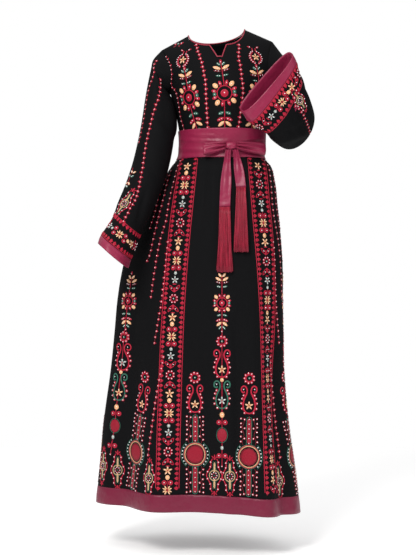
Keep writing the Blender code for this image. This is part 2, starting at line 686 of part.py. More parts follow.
def make_tail(name, collection):
    """A hanging end of the bow's ribbon, with a soft lengthwise fold that opens out towards its foot."""
    tail = BOW_TAILS[name]
    levels = np.linspace(TAIL_TOP_Z, tail.foot_z, TAIL_ROWS + 1)
    outer = np.zeros((TAIL_ROWS + 1, TAIL_FOLDS + 1, 3))
    for row, z in enumerate(levels):
        share = row / TAIL_ROWS
        half = tail.top_half + (tail.foot_half - tail.top_half) * ease(share * 1.6)
        x, y = tail_centre(name, z)
        for c in range(TAIL_FOLDS + 1):
            place = -1.0 + 2.0 * c / TAIL_FOLDS
            crease = TAIL_CREASE * (1 - ease(share)) * abs(math.cos(math.pi * place))
            wave = TAIL_WAVE * (2 + math.cos(3 * math.pi * share))
            outer[row, c] = (x + half * place, y - crease - wave, z)
    inner = outer + np.array([0.0, SATIN, 0.0])
    wall(name, outer, inner, False, collection, WINE_SATIN)


def make_tassel(name, collection):
    """A tassel: a flat head sewn under the ribbon's end, and strands drawn down from its underside."""
    tail = BOW_TAILS[TASSEL_OF[name]]
    x, y = tail_centre(TASSEL_OF[name], tail.foot_z)
    middle = Vector((x, y - 0.5 * TASSEL_DEPTH + SATIN, tail.foot_z - SEAM_GAP - TASSEL_HEAD))
    bm = bmesh.new()
    bmesh.ops.create_grid(bm, x_segments=STRANDS_ACROSS, y_segments=STRANDS_DEEP, size=0.5)
    for v in bm.verts:
        v.co = middle + Vector((v.co.x * 2 * tail.foot_half, v.co.y * TASSEL_DEPTH, 0.0))
    underside = bm.faces[:]
    lifted = bmesh.ops.extrude_face_region(bm, geom=underside, use_keep_orig=True)["geom"]
    for v in (item for item in lifted if isinstance(item, bmesh.types.BMVert)):
        v.co.z += TASSEL_HEAD
    bmesh.ops.inset_individual(bm, faces=underside, thickness=STRAND_INSET, use_even_offset=True)
    roots = [(face, face.calc_center_median() - middle) for face in underside]
    fall = TASSEL_LENGTH - TASSEL_HEAD
    for k, (face, place) in enumerate(roots):
        end = face
        for share in STRAND_JOINTS:
            end = bmesh.ops.extrude_discrete_faces(bm, faces=[end])["faces"][0]
            level = middle.z - fall * share + STRAND_UNEVEN * math.sin(2.3 * k) * share
            sway = STRAND_SWAY * math.sin(5.1 * k) * share
            spread = 1 + (TASSEL_SPLAY - 1) * share
            cloth = front_surface_y(middle.x, middle.z - fall * share) - TAIL_CLEAR - 0.5 * TASSEL_DEPTH * spread
            centre = Vector((middle.x + place.x * spread + sway, min(middle.y, cloth) + place.y * spread, level))
            bmesh.ops.translate(bm, verts=end.verts[:], vec=centre - end.calc_center_median())
    bmesh.ops.recalc_face_normals(bm, faces=bm.faces[:])
    add_object(name, bm, collection, CRIMSON_THREAD)


def main():
    clear_scene()
    collection = bpy.data.collections.new("thobe_dress")
    bpy.context.scene.collection.children.link(collection)
    layers = bodice_layers()
    make_bodice(layers, collection)
    make_skirt(collection)
    for side in ("right", "left"):
        make_sleeve(layers, side, collection)
    make_neck_binding(layers, collection)
    make_belt(collection)
    knot = make_knot(collection)
    for name in BOW_LOOPS:
        make_loop(name, knot, collection)
    for name in BOW_TAILS:
        make_tail(name, collection)
    for name in TASSEL_OF:
        make_tassel(name, collection)


main()
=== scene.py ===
"""Looks of the embroidered thobe dress: crepe shells, satin trims, bow, tassels, embroidery and beads.

Metres, +Z up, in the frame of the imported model. The wearer faces -Y and the wearer's right side is at -X.
Places that were read from the reference picture are given as its pixels, in its 416 by 555 frame.
"""

import logging
import math
from dataclasses import dataclass, field
from enum import Enum
from typing import Callable, Iterable, Sequence

import bmesh
import bpy
import numpy as np
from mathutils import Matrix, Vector


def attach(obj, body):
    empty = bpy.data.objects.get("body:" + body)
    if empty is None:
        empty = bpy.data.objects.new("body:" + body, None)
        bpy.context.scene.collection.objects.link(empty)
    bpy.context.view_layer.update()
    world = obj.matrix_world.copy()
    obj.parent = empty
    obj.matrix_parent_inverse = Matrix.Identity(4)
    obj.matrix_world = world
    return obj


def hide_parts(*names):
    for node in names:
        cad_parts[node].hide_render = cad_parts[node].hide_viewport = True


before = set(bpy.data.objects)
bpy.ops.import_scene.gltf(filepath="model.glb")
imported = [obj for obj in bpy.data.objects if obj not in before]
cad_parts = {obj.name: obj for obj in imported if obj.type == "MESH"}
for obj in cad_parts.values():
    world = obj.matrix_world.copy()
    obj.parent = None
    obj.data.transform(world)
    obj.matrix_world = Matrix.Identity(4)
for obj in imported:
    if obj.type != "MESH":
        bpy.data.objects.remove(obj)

LOG = logging.getLogger("thobe")
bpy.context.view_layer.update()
BODY = "root"
Array = np.ndarray
Pixel = tuple[float, float]

# The camera stands level with the dress's middle, and one pixel spans PIXEL_SIZE metres at y = 0
CAMERA_X = -0.0257
CAMERA_Y = -4.2
CAMERA_Z = -0.697
PIXEL_SIZE = 0.00285
IMAGE_MIDDLE = (208.0, 277.5)
LENS_MM = 95.6
SENSOR_MM = 36.0

WAIST_Z = -0.325
HEM_TOP_Z = -1.295
HEM_Z = -1.343
HEM_DIP = 0.016
HEM_DIP_START = -0.90
BELT_TOP_Z = -0.281
BELT_BOTTOM_Z = -0.3615
CREPE_THICK = 0.0011
SATIN_THICK = 0.0010
BELT_CLEAR = 0.0009
BELT_THICK = 0.0022
BELT_CLOTH = 0.0020
FACING_INSET = 0.0021
HEM_LIFT = 0.0004
HEM_PUFF = 0.0009
HEM_ROWS = 9
BELT_ROWS = 25
BELT_COLUMNS = 240
BODY_MIDDLE_X = 0.013
# In the search for a pixel's place: what a surface that faces away counts, and what a metre further off does
HIDDEN_AWAY = 400.0
DEPTH_WEIGHT = 45.0

FLOOR_Z = -1.465
FLOOR_RADIUS = 2.6
SKY_LOW = 0.14
SKY_HIGH = 1.05


@dataclass(frozen=True)
class BodySection:
    """The garment's cross-section at one height: its reach each way from its middle, and its turn."""

    z: float
    right: float
    left: float
    front: float
    back: float
    middle: float
    turn: float


@dataclass(frozen=True)
class Fold:
    """A skirt fold: angle and half width in degrees, height at the hem, and the level where it begins."""

    angle: float
    width: float
    height: float
    start: float


@dataclass(frozen=True)
class HangingSection:
    """A section of the hanging sleeve, from its outer edge to its inner edge."""

    outer_x: float
    outer_z: float
    inner_x: float
    inner_z: float
    y: float
    deep: float
    square: float


@dataclass(frozen=True)
class RaisedSection:
    """A section of the raised sleeve, from its arm edge to its hanging edge. fan is in degrees."""

    arm_x: float
    arm_z: float
    hang_x: float
    hang_z: float
    y: float
    deep: float
    fan: float
    square: float


BODY_SECTIONS = [BodySection(*row) for row in (
    (0.040, 0.152, 0.142, 0.070, 0.058, 0.002, 0.10),
    (0.000, 0.162, 0.150, 0.073, 0.064, 0.003, 0.10),
    (-0.050, 0.172, 0.157, 0.085, 0.083, 0.005, 0.10),
    (-0.100, 0.166, 0.156, 0.104, 0.098, 0.008, 0.10),
    (-0.150, 0.153, 0.147, 0.117, 0.101, 0.011, 0.10),
    (-0.190, 0.142, 0.137, 0.120, 0.096, 0.0125, 0.10),
    (-0.235, 0.131, 0.1275, 0.115, 0.088, 0.0135, 0.10),
    (-0.285, 0.1225, 0.122, 0.104, 0.083, 0.0145, 0.10),
    (-0.325, 0.1215, 0.121, 0.100, 0.083, 0.0145, 0.10),
    (-0.362, 0.1285, 0.122, 0.102, 0.089, 0.014, 0.11),
    (-0.376, 0.140, 0.135, 0.111, 0.099, 0.0135, 0.11),
    (-0.425, 0.172, 0.151, 0.122, 0.122, 0.013, 0.12),
    (-0.493, 0.217, 0.159, 0.132, 0.145, 0.0127, 0.13),
    (-0.582, 0.258, 0.168, 0.140, 0.155, 0.0127, 0.14),
    (-0.665, 0.283, 0.173, 0.145, 0.158, 0.0127, 0.15),
    (-0.758, 0.298, 0.173, 0.148, 0.162, 0.0127, 0.15),
    (-0.849, 0.305, 0.174, 0.150, 0.168, 0.0127, 0.15),
    (-0.958, 0.314, 0.175, 0.152, 0.178, 0.0127, 0.15),
    (-1.104, 0.331, 0.187, 0.157, 0.192, 0.0127, 0.15),
    (-1.227, 0.340, 0.205, 0.162, 0.206, 0.0127, 0.15),
    (-1.343, 0.351, 0.219, 0.166, 0.222, 0.0127, 0.15),
)]

SKIRT_FOLDS = [Fold(*row) for row in (
    (-90.0, 13.0, 0.010, -0.70),
    (-55.0, 11.0, -0.024, -0.62),
    (-31.0, 11.0, 0.034, -0.55),
    (-11.0, 9.0, -0.008, -0.75),
    (4.0, 9.0, 0.006, -0.85),
    (14.0, 8.0, -0.008, -0.80),
    (32.0, 12.0, 0.026, -0.60),
    (57.0, 11.0, -0.020, -0.65),
    (92.0, 12.0, 0.004, -0.70),
    (114.0, 9.0, -0.026, -0.55),
    (134.0, 9.0, 0.026, -0.60),
    (153.0, 8.0, -0.022, -0.70),
    (171.0, 9.0, 0.028, -0.55),
    (-170.0, 8.0, -0.018, -0.65),
    (-151.0, 9.0, 0.030, -0.60),
    (-131.0, 8.0, -0.024, -0.55),
    (-112.0, 9.0, 0.024, -0.65),
)]

HANGING_SECTIONS = [HangingSection(*row) for row in (
    (-0.181, -0.074, -0.1480, -0.174, 0.012, 0.054, 1.0),
    (-0.189, -0.106, -0.1385, -0.190, 0.004, 0.058, 1.0),
    (-0.202, -0.176, -0.1255, -0.234, -0.012, 0.062, 1.0),
    (-0.216, -0.272, -0.1215, -0.300, -0.032, 0.060, 1.0),
    (-0.235, -0.364, -0.1370, -0.392, -0.052, 0.058, 1.0),
    (-0.256, -0.434, -0.1610, -0.464, -0.072, 0.058, 1.0),
    (-0.277, -0.489, -0.1880, -0.530, -0.093, 0.060, 1.0),
    (-0.292, -0.534, -0.2180, -0.592, -0.111, 0.070, 0.95),
    (-0.321, -0.580, -0.2380, -0.648, -0.128, 0.080, 0.9),
    (-0.329, -0.602, -0.2450, -0.671, -0.134, 0.084, 0.9),
)]

RAISED_SECTIONS = [RaisedSection(*row) for row in (
    (0.193, -0.072, 0.1610, -0.200, -0.004, 0.058, 180.0, 1.0),
    (0.243, -0.124, 0.1680, -0.252, 0.014, 0.054, 165.0, 1.0),
    (0.252, -0.186, 0.1700, -0.302, -0.006, 0.050, 135.0, 1.0),
    (0.255, -0.210, 0.1860, -0.333, -0.058, 0.047, 90.0, 1.0),
    (0.242, -0.180, 0.1580, -0.320, -0.110, 0.048, 50.0, 0.9),
    (0.229, -0.152, 0.1330, -0.297, -0.138, 0.043, 14.0, 0.75),
    (0.214, -0.103, 0.0880, -0.270, -0.156, 0.034, 26.0, 0.68),
    (0.202, -0.082, 0.0650, -0.240, -0.168, 0.029, 38.0, 0.66),
)]

# Places along each sleeve, in sections from the armhole: the sleeve's cloth ends where its satin band begins
HANGING_END = 10.0
HANGING_BAND = 9.0
RAISED_END = 8.0
RAISED_BAND = 7.0
FACING_DEPTH = 2.5

RIGHT_TIP = (-0.158, -0.047)
RIGHT_NECK = (-0.083, -0.008)
RIGHT_NOTCH = (-0.023, -0.048)
RIGHT_NOTCH_FOOT = (-0.0014, -0.083)
LEFT_NOTCH_FOOT = (0.0154, -0.083)
LEFT_NOTCH = (0.0274, -0.047)
LEFT_NECK = (0.080, 0.007)
LEFT_TIP = (0.157, -0.028)
BACK_NECK_DROP = 0.022
NECK_RISE = 0.022
SHOULDER_ROLL = 0.095
ROLL_POWER = 0.62
ARMHOLE_CUT = 0.13

# Grid counts of the shells
FINE = 4
BODICE_ROWS = 14 * FINE
UNDERARM_ROW = 8 * FINE
SHOULDER_STEPS = 4 * FINE
ROUND_STEPS = 6 * FINE
NOTCH_STEPS = FINE
BACK_NECK_STEPS = 8 * FINE
SLEEVE_COLUMNS = 24 * FINE
SLEEVE_ROW_STEP = 0.125
SKIRT_ROWS = 150
SKIRT_FRONT_COLUMNS = 150
SKIRT_BACK_COLUMNS = 110


class Thread(Enum):
    """Thread colours of the embroidery, in linear red, green and blue."""

    CRIMSON = (0.42, 0.007, 0.032)
    MAROON = (0.15, 0.003, 0.012)
    PEACH = (0.80, 0.43, 0.22)
    GREEN = (0.024, 0.120, 0.080)
    GOLD = (0.56, 0.35, 0.19)
    SILVER = (0.36, 0.41, 0.38)
    WINE = (0.27, 0.004, 0.020)
    BLACK = (0.004, 0.004, 0.005)


def unit(vectors: Array) -> Array:
    """Vectors of length one."""
    return vectors / np.maximum(np.linalg.norm(vectors, axis=-1, keepdims=True), 1e-12)


def ease(t: Array | float) -> Array | float:
    """A smooth rise from 0 to 1."""
    t = np.clip(t, 0.0, 1.0)
    return t * t * (3 - 2 * t)


def boxed(value: Array, square: float) -> Array:
    """A sine or cosine made boxier where square is under 1."""
    return np.sign(value) * np.abs(value) ** square


def through(places: Sequence[float], values: Array | Sequence, at: Array | Sequence | float) -> Array:
    """A smooth curve through values at rising places.

    Args:
        places: rising places of the values.
        values: one value, or an array of any shape, for each place.
        at: the places to read.

    Returns:
        The values there.
    """
    places = np.asarray(places, float)
    values = np.asarray(values, float)
    slopes = np.gradient(values, places, axis=0)
    at = np.clip(np.asarray(at, float), places[0], places[-1])
    low = np.clip(np.searchsorted(places, at, side="right") - 1, 0, len(places) - 2)
    span = places[low + 1] - places[low]
    t = (at - places[low]) / span
    spread = t.shape + (1,) * (values.ndim - 1)
    t, span = t.reshape(spread), span.reshape(spread)
    start = (1 + 2 * t) * (1 - t) ** 2 * values[low] + t * (1 - t) ** 2 * span * slopes[low]
    end = t * t * (3 - 2 * t) * values[low + 1] + t * t * (t - 1) * span * slopes[low + 1]
    return start + end


def to_pixels(points: Array) -> Array:
    """Where points fall in the reference picture, in pixels."""
    scale = PIXEL_SIZE * (points[..., 1] - CAMERA_Y) / -CAMERA_Y
    across = IMAGE_MIDDLE[0] + (points[..., 0] - CAMERA_X) / scale
    down = IMAGE_MIDDLE[1] - (points[..., 2] - CAMERA_Z) / scale
    return np.stack([across, down], axis=-1)


def grid_normals(grid: Array, closed: bool) -> Array:
    """Unit normals of a grid of points, from the differences along its rows and columns."""
    down = np.gradient(grid, axis=0)
    if closed:
        across = np.roll(grid, -1, axis=1) - np.roll(grid, 1, axis=1)
    else:
        across = np.gradient(grid, axis=1)
    return unit(np.cross(down, across))


@dataclass(frozen=True)
class Crease:
    """A soft ridge or trough between two pixels of the picture, on the side of the cloth that faces it.

    height is in metres, negative for a trough, and width is its half width in pixels. face is -1 on the front
    of the dress, 1 on its back, where the pixels are those seen through it, and 0 where both move.
    """

    start: Pixel
    end: Pixel
    width: float
    height: float
    face: float = -1.0

    def lift(self, pixels: Array, facing: Array) -> Array:
        """How far the crease moves points with those pixels and facing values."""
        start, end = np.array(self.start), np.array(self.end)
        run = end - start
        along = np.clip(((pixels - start) @ run) / (run @ run), 0, 1)
        apart = np.linalg.norm(pixels - start - along[..., None] * run, axis=-1)
        taper = np.sqrt(np.sin(np.pi * np.clip(0.08 + 0.84 * along, 0, 1)))
        side = ease(self.face * facing * 2.5) if self.face else 1.0
        return self.height * taper * np.exp(-((apart / self.width) ** 2)) * side


@dataclass
class DressForm:
    """The garment's form, from which every shell and every place of embroidery is worked out."""

    def size(self, name: str, z: Array | float) -> Array:
        """A size of the cross-section at height z."""
        levels = [-section.z for section in BODY_SECTIONS]
        sizes = [getattr(section, name) for section in BODY_SECTIONS]
        return through(levels, sizes, -np.asarray(z, float))

    def fold_height(self, angle: Array, z: Array) -> Array:
        """How far the skirt's folds stand out."""
        total = np.zeros(np.broadcast(angle, z).shape)
        for fold in SKIRT_FOLDS:
            apart = (angle - fold.angle + 180.0) % 360.0 - 180.0
            along = np.clip((fold.start - z) / (fold.start - HEM_Z), 0, 1)
            growth = 0.75 * ease(along) + 0.25 * np.sqrt(along)
            total = total + fold.height * growth * np.exp(-((apart / fold.width) ** 2))
        return total

    def body_point(self, angle: Array | float, z: Array | float, out: Array | float = 0.0) -> Array:
        """A point below the chest, at an angle in degrees from the front middle towards the wearer's left."""
        angle, z = np.broadcast_arrays(np.asarray(angle, float), np.asarray(z, float))
        sine, cosine = np.sin(np.radians(angle)), np.cos(np.radians(angle))
        across = np.where(sine >= 0, self.size("left", z), self.size("right", z))
        deep = np.where(cosine >= 0, self.size("front", z), self.size("back", z))
        normal_x, normal_y = sine / across, -cosine / deep
        length = np.hypot(normal_x, normal_y)
        away = self.fold_height(angle, z) + out
        offset = across * sine
        x = self.size("middle", z) + offset + away * normal_x / length
        y = -deep * cosine + away * normal_y / length - self.size("turn", z) * offset
        return np.stack([x, y, z], axis=-1)

    def front_y(self, x: float, z: float) -> float:
        """Depth of the garment's front at x and z."""
        offset = x - self.size("middle", z)
        reach = self.size("left", z) if offset >= 0 else self.size("right", z)
        angle = math.degrees(math.asin(max(-1.0, min(1.0, float(offset / reach)))))
        return float(self.body_point(angle, z)[1])

    def shoulder_ridge(self, x: Array) -> Array:
        """Height of the shoulder line, which keeps rising across the open neck."""
        line_x = (RIGHT_TIP[0], RIGHT_NECK[0], LEFT_NECK[0], LEFT_TIP[0])
        line_z = (RIGHT_TIP[1], RIGHT_NECK[1], LEFT_NECK[1], LEFT_TIP[1])
        middle = 0.5 * (RIGHT_NECK[0] + LEFT_NECK[0])
        half = 0.5 * (LEFT_NECK[0] - RIGHT_NECK[0])
        rise = NECK_RISE * np.clip(1 - ((x - middle) / half) ** 2, 0, 1)
        return np.interp(x, line_x, line_z) + rise

    def straight(self, start: Pixel, end: Pixel, steps: int) -> list[Pixel]:
        """Points from start up to, but not including, end."""
        return [tuple(np.array(start) + (np.array(end) - np.array(start)) * k / steps) for k in range(steps)]

    def quarter_round(self, neck: Pixel, notch: Pixel) -> list[Pixel]:
        """The neckline's round stretch from the neck point down to the notch."""
        turns = [0.5 * math.pi * k / ROUND_STEPS for k in range(ROUND_STEPS)]
        across, down = neck[0] - notch[0], notch[1] - neck[1]
        return [(notch[0] + across * math.cos(t), neck[1] + down * math.sin(t)) for t in turns]

    def front_edge(self) -> Array:
        """Shoulder, neckline and notch of the front, from the wearer's right to the left."""
        points = self.straight(RIGHT_TIP, RIGHT_NECK, SHOULDER_STEPS)
        points += self.quarter_round(RIGHT_NECK, RIGHT_NOTCH)
        corners = (RIGHT_NOTCH, RIGHT_NOTCH_FOOT, LEFT_NOTCH_FOOT, LEFT_NOTCH)
        for start, end in zip(corners, corners[1:]):
            points += self.straight(start, end, NOTCH_STEPS)
        points += [LEFT_NOTCH]
        points += self.quarter_round(LEFT_NECK, LEFT_NOTCH)[::-1]
        points += self.straight(LEFT_TIP, LEFT_NECK, SHOULDER_STEPS)[::-1]
        return np.array(points)

    def back_edge(self) -> Array:
        """Shoulder and shallow neckline of the back, from the wearer's right to the left."""
        points = self.straight(RIGHT_TIP, RIGHT_NECK, SHOULDER_STEPS)
        for k in range(BACK_NECK_STEPS):
            share = 0.5 - 0.5 * math.cos(math.pi * k / BACK_NECK_STEPS)
            x = RIGHT_NECK[0] + (LEFT_NECK[0] - RIGHT_NECK[0]) * share
            z = RIGHT_NECK[1] + (LEFT_NECK[1] - RIGHT_NECK[1]) * share
            points.append((x, z - BACK_NECK_DROP * math.sin(math.pi * k / BACK_NECK_STEPS)))
        points += [LEFT_NECK]
        points += self.straight(LEFT_TIP, LEFT_NECK, SHOULDER_STEPS)[::-1]
        return np.array(points)

    def bodice(self, front: bool) -> Array:
        """Points of the bodice's front or back, rows from the waist seam up.

        Args:
            front: whether it is the front.

        Returns:
            Rows by columns of points.
        """
        top = self.front_edge() if front else self.back_edge()
        share = np.linspace(-1.0, 1.0, len(top))
        middle = self.size("middle", top[:, 1])
        top_half = np.where(top[:, 0] >= middle, self.size("left", top[:, 1]), self.size("right", top[:, 1]))
        top_sine = (top[:, 0] - middle) / top_half
        grid = np.zeros((BODICE_ROWS + 1, len(top), 3))
        for row in range(BODICE_ROWS + 1):
            v = row / BODICE_ROWS
            z = WAIST_Z + (top[:, 1] - WAIST_Z) * v
            above = max(0.0, (row - UNDERARM_ROW) / (BODICE_ROWS - UNDERARM_ROW))
            cut = ARMHOLE_CUT * math.sin(math.pi * above)
            sine = np.sin(share * math.pi / 2) * (1 - v * v) + top_sine * v * v
            if row <= UNDERARM_ROW:
                sine = sine / abs(sine).max()
            sine = sine * (1 - cut * abs(share) ** 3)
            half = np.where(share >= 0, self.size("left", z), self.size("right", z))
            offset = half * sine
            x = self.size("middle", z) + offset
            below = np.clip((self.shoulder_ridge(x) - z) / SHOULDER_ROLL, 0, 1)
            roll = (1 - (1 - below) ** 2) ** ROLL_POWER
            deep = self.size("front" if front else "back", z) * np.sqrt(np.clip(1 - sine * sine, 0, 1)) * roll
            y = (-deep if front else deep) - self.size("turn", z) * offset
            grid[row] = np.stack([x, y, z], axis=-1)
        return grid

    def armhole(self, right: bool) -> Array:
        """Points round an armhole from the shoulder tip, down the front first on the wearer's right."""
        column = 0 if right else -1
        first, second = self.bodice(right), self.bodice(not right)
        down = [first[r, column] for r in range(BODICE_ROWS, UNDERARM_ROW, -1)]
        up = [second[r, column] for r in range(UNDERARM_ROW, BODICE_ROWS)]
        corners = np.array(down + up)
        between = 0.5 * (corners + np.roll(corners, -1, axis=0))
        return np.stack([corners, between], axis=1).reshape(-1, 3)

    def ring(self, centre: Array, to_side: Array, to_face: Array, square: float) -> Array:
        """One closed section of a sleeve."""
        turn = 2 * math.pi * np.arange(SLEEVE_COLUMNS) / SLEEVE_COLUMNS
        side, face = boxed(np.cos(turn), square), boxed(np.sin(turn), square)
        return centre + side[:, None] * to_side + face[:, None] * to_face

    def hanging_rings(self) -> list[Array]:
        """Sections of the hanging sleeve."""
        rings = []
        for at in HANGING_SECTIONS:
            centre = np.array([0.5 * (at.outer_x + at.inner_x), at.y, 0.5 * (at.outer_z + at.inner_z)])
            to_outer = np.array([0.5 * (at.outer_x - at.inner_x), 0.0, 0.5 * (at.outer_z - at.inner_z)])
            rings.append(self.ring(centre, to_outer, np.array([0.0, -at.deep, 0.0]), at.square))
        return rings

    def raised_rings(self) -> list[Array]:
        """Sections of the raised sleeve, whose depth fans round the elbow."""
        rings = []
        for at in RAISED_SECTIONS:
            centre = np.array([0.5 * (at.arm_x + at.hang_x), at.y, 0.5 * (at.arm_z + at.hang_z)])
            to_arm = np.array([0.5 * (at.arm_x - at.hang_x), 0.0, 0.5 * (at.arm_z - at.hang_z)])
            along = unit(to_arm)
            outward = np.array([along[2], 0.0, -along[0]])
            spread = math.radians(at.fan)
            to_face = at.deep * (math.sin(spread) * outward - math.cos(spread) * np.array([0.0, 1.0, 0.0]))
            rings.append(self.ring(centre, to_arm, to_face, at.square))
        return rings

    def sleeve(self, right: bool, start: float, end: float) -> Array:
        """Points of a sleeve between two places along it, rows from the armhole towards the cuff."""
        rings = [self.armhole(right)] + (self.hanging_rings() if right else self.raised_rings())
        rows = np.linspace(start, end, max(3, round((end - start) / SLEEVE_ROW_STEP) + 1))
        return through(np.arange(len(rings)), np.array(rings), rows)

    def skirt(self, angles: Array, levels: Array) -> Array:
        """Points of the skirt at each level and angle."""
        grid = self.body_point(angles[None, :], levels[:, None])
        dip = ease((HEM_DIP_START - levels) / (HEM_DIP_START - HEM_Z))[:, None]
        grid[:, :, 2] -= HEM_DIP * dip * np.clip(np.sin(np.radians(angles)), 0, 1)
        return grid


@dataclass
class Chart:
    """A cloth's outer surface as a grid that can be read at any place, given as (row, column)."""

    points: Array
    closed: bool
    outward: float = 1.0
    normals: Array = field(init=False)

    def __post_init__(self) -> None:
        """Works out the normals."""
        self.normals = self.outward * grid_normals(self.points, self.closed)

    def slopes(self) -> Array:
        """Every grid point with its moves for one step down and one step across, as nine numbers."""
        down = np.gradient(self.points, axis=0)
        if self.closed:
            across = 0.5 * (np.roll(self.points, -1, axis=1) - np.roll(self.points, 1, axis=1))
        else:
            across = np.gradient(self.points, axis=1)
        return np.concatenate([self.points, down, across], axis=-1)

    def settle(self, places: Array, targets: Array) -> Array:
        """Moves places until the surface there lies right under, or over, the targets.

        Args:
            places: places to start from.
            targets: points in space near the surface.

        Returns:
            The places on the surface nearest to the targets.
        """
        table = self.slopes()
        limit = np.array(self.points.shape[:2]) - 1.0001
        for _ in range(5):
            known = self.read(table, places)
            away, down, across = targets - known[..., :3], known[..., 3:6], known[..., 6:]
            dd, dc, cc = (down * down).sum(-1), (down * across).sum(-1), (across * across).sum(-1)
            td, tc = (away * down).sum(-1), (away * across).sum(-1)
            spread = dd * cc - dc * dc + 1e-18
            step = np.stack([(cc * td - dc * tc) / spread, (dd * tc - dc * td) / spread], axis=-1)
            places = places + np.clip(step, -2.5, 2.5)
            places[..., 0] = np.clip(places[..., 0], 0, limit[0])
            if not self.closed:
                places[..., 1] = np.clip(places[..., 1], 0, limit[1])
        return places

    def crease(self, creases: Iterable[Crease]) -> None:
        """Moves the surface by its creases."""
        pixels = to_pixels(self.points)
        facing = self.normals[..., 1]
        lift = sum((c.lift(pixels, facing) for c in creases), np.zeros(facing.shape))
        self.points = self.points + lift[..., None] * self.normals
        self.normals = self.outward * grid_normals(self.points, self.closed)

    def read(self, table: Array, places: Array) -> Array:
        """A table of the grid's values, read between its points."""
        rows, columns = table.shape[:2]
        r = np.clip(places[..., 0], 0, rows - 1.0001)
        c = places[..., 1] % columns if self.closed else np.clip(places[..., 1], 0, columns - 1.0001)
        r0, c0 = np.floor(r).astype(int), np.floor(c).astype(int)
        c1 = (c0 + 1) % columns
        fr, fc = (r - r0)[..., None], (c - c0)[..., None]
        upper = table[r0, c0] * (1 - fc) + table[r0, c1] * fc
        lower = table[r0 + 1, c0] * (1 - fc) + table[r0 + 1, c1] * fc
        return upper * (1 - fr) + lower * fr

    def find(self, pixel: Pixel) -> Array:
        """The place on the surface that shows at a pixel of the picture."""
        pixels = to_pixels(self.points)
        hidden = HIDDEN_AWAY * (self.normals[..., 1] > 0.05)
        apart = np.linalg.norm(pixels - np.array(pixel), axis=-1) + hidden
        apart = apart + DEPTH_WEIGHT * self.points[..., 1]
        near = np.unravel_index(np.argmin(apart), apart.shape)
        place = np.array(near, float)
        for _ in range(4):
            here = to_pixels(self.read(self.points, place))
            by_row = to_pixels(self.read(self.points, place + (0.5, 0.0))) - to_pixels(
                self.read(self.points, place - (0.5, 0.0)))
            by_column = to_pixels(self.read(self.points, place + (0.0, 0.5))) - to_pixels(
                self.read(self.points, place - (0.0, 0.5)))
            step, *_ = np.linalg.lstsq(
                np.stack([by_row, by_column], axis=1), np.array(pixel) - here, rcond=None
            )
            place = place + np.clip(step, -1.0, 1.0)
        return place

    def upward(self, place: Array) -> Array:
        """The direction from a place towards the surface's first row."""
        return unit(self.read(self.points, place - (0.6, 0.0)) - self.read(self.points, place + (0.6, 0.0)))

    def axes(self, place: Array, up: Array) -> tuple[Array, Array]:
        """Directions to the right and up on the cloth at a place.

        Args:
            place: (row, column) on the surface.
            up: the direction in space that is up on the cloth there.

        Returns:
            The moves of (row, column) for a metre right and a metre up, and the two directions in space.
        """
        half = 0.75
        by_row = self.read(self.points, place + (half, 0.0)) - self.read(self.points, place - (half, 0.0))
        by_column = self.read(self.points, place + (0.0, half)) - self.read(self.points, place - (0.0, half))
        jacobian = np.stack([by_row, by_column], axis=1) / (2 * half)
        normal = unit(self.read(self.normals, place))
        rise = unit(up - (up @ normal) * normal)
        right = np.cross(rise, normal)
        moves, *_ = np.linalg.lstsq(jacobian, np.stack([right, rise], axis=1), rcond=None)
        return moves.T, np.stack([right, rise])


@dataclass
class SkirtChart(Chart):
    """The skirt's surface, whose places are also known by arc length from the front middle."""

    levels: Array = None
    middle: int = 0

    def arcs(self, row: float) -> Array:
        """Arc length of each column from the middle column, along one row."""
        line = self.read(
            self.points, np.stack([np.full(self.points.shape[1], row), np.arange(self.points.shape[1])], -1)
        )
        steps = np.linalg.norm(np.diff(line, axis=0), axis=-1)
        total = np.concatenate([[0.0], np.cumsum(steps)])
        return total - total[self.middle]

    def at(self, arc: float, z: float) -> Array:
        """The place at an arc length from the front middle and a level."""
        row = float(np.interp(-z, -self.levels, np.arange(len(self.levels))))
        return np.array([row, float(np.interp(arc, self.arcs(row), np.arange(self.points.shape[1])))])

    def arc_of(self, pixel: Pixel) -> tuple[float, float]:
        """Arc length and level of what shows at a pixel."""
        place = self.find(pixel)
        arc = float(np.interp(place[1], np.arange(self.points.shape[1]), self.arcs(place[0])))
        return arc, float(np.interp(place[0], np.arange(len(self.levels)), self.levels))


OVAL_SIDES = 12
OVAL_RINGS = ((1.0, -0.25), (0.74, 0.72))
BEAD_SIDES = 7
BEAD_RINGS = ((0.80, -0.1), (1.0, 0.45), (0.62, 0.92))


@dataclass(frozen=True)
class Oval:
    """A filled oval or leaf: where it is drawn, its middle and half axes in local metres, and its look."""

    site: "Site"
    middle: tuple[float, float]
    along: tuple[float, float]
    across: tuple[float, float]
    height: float
    thread: Thread
    point: float


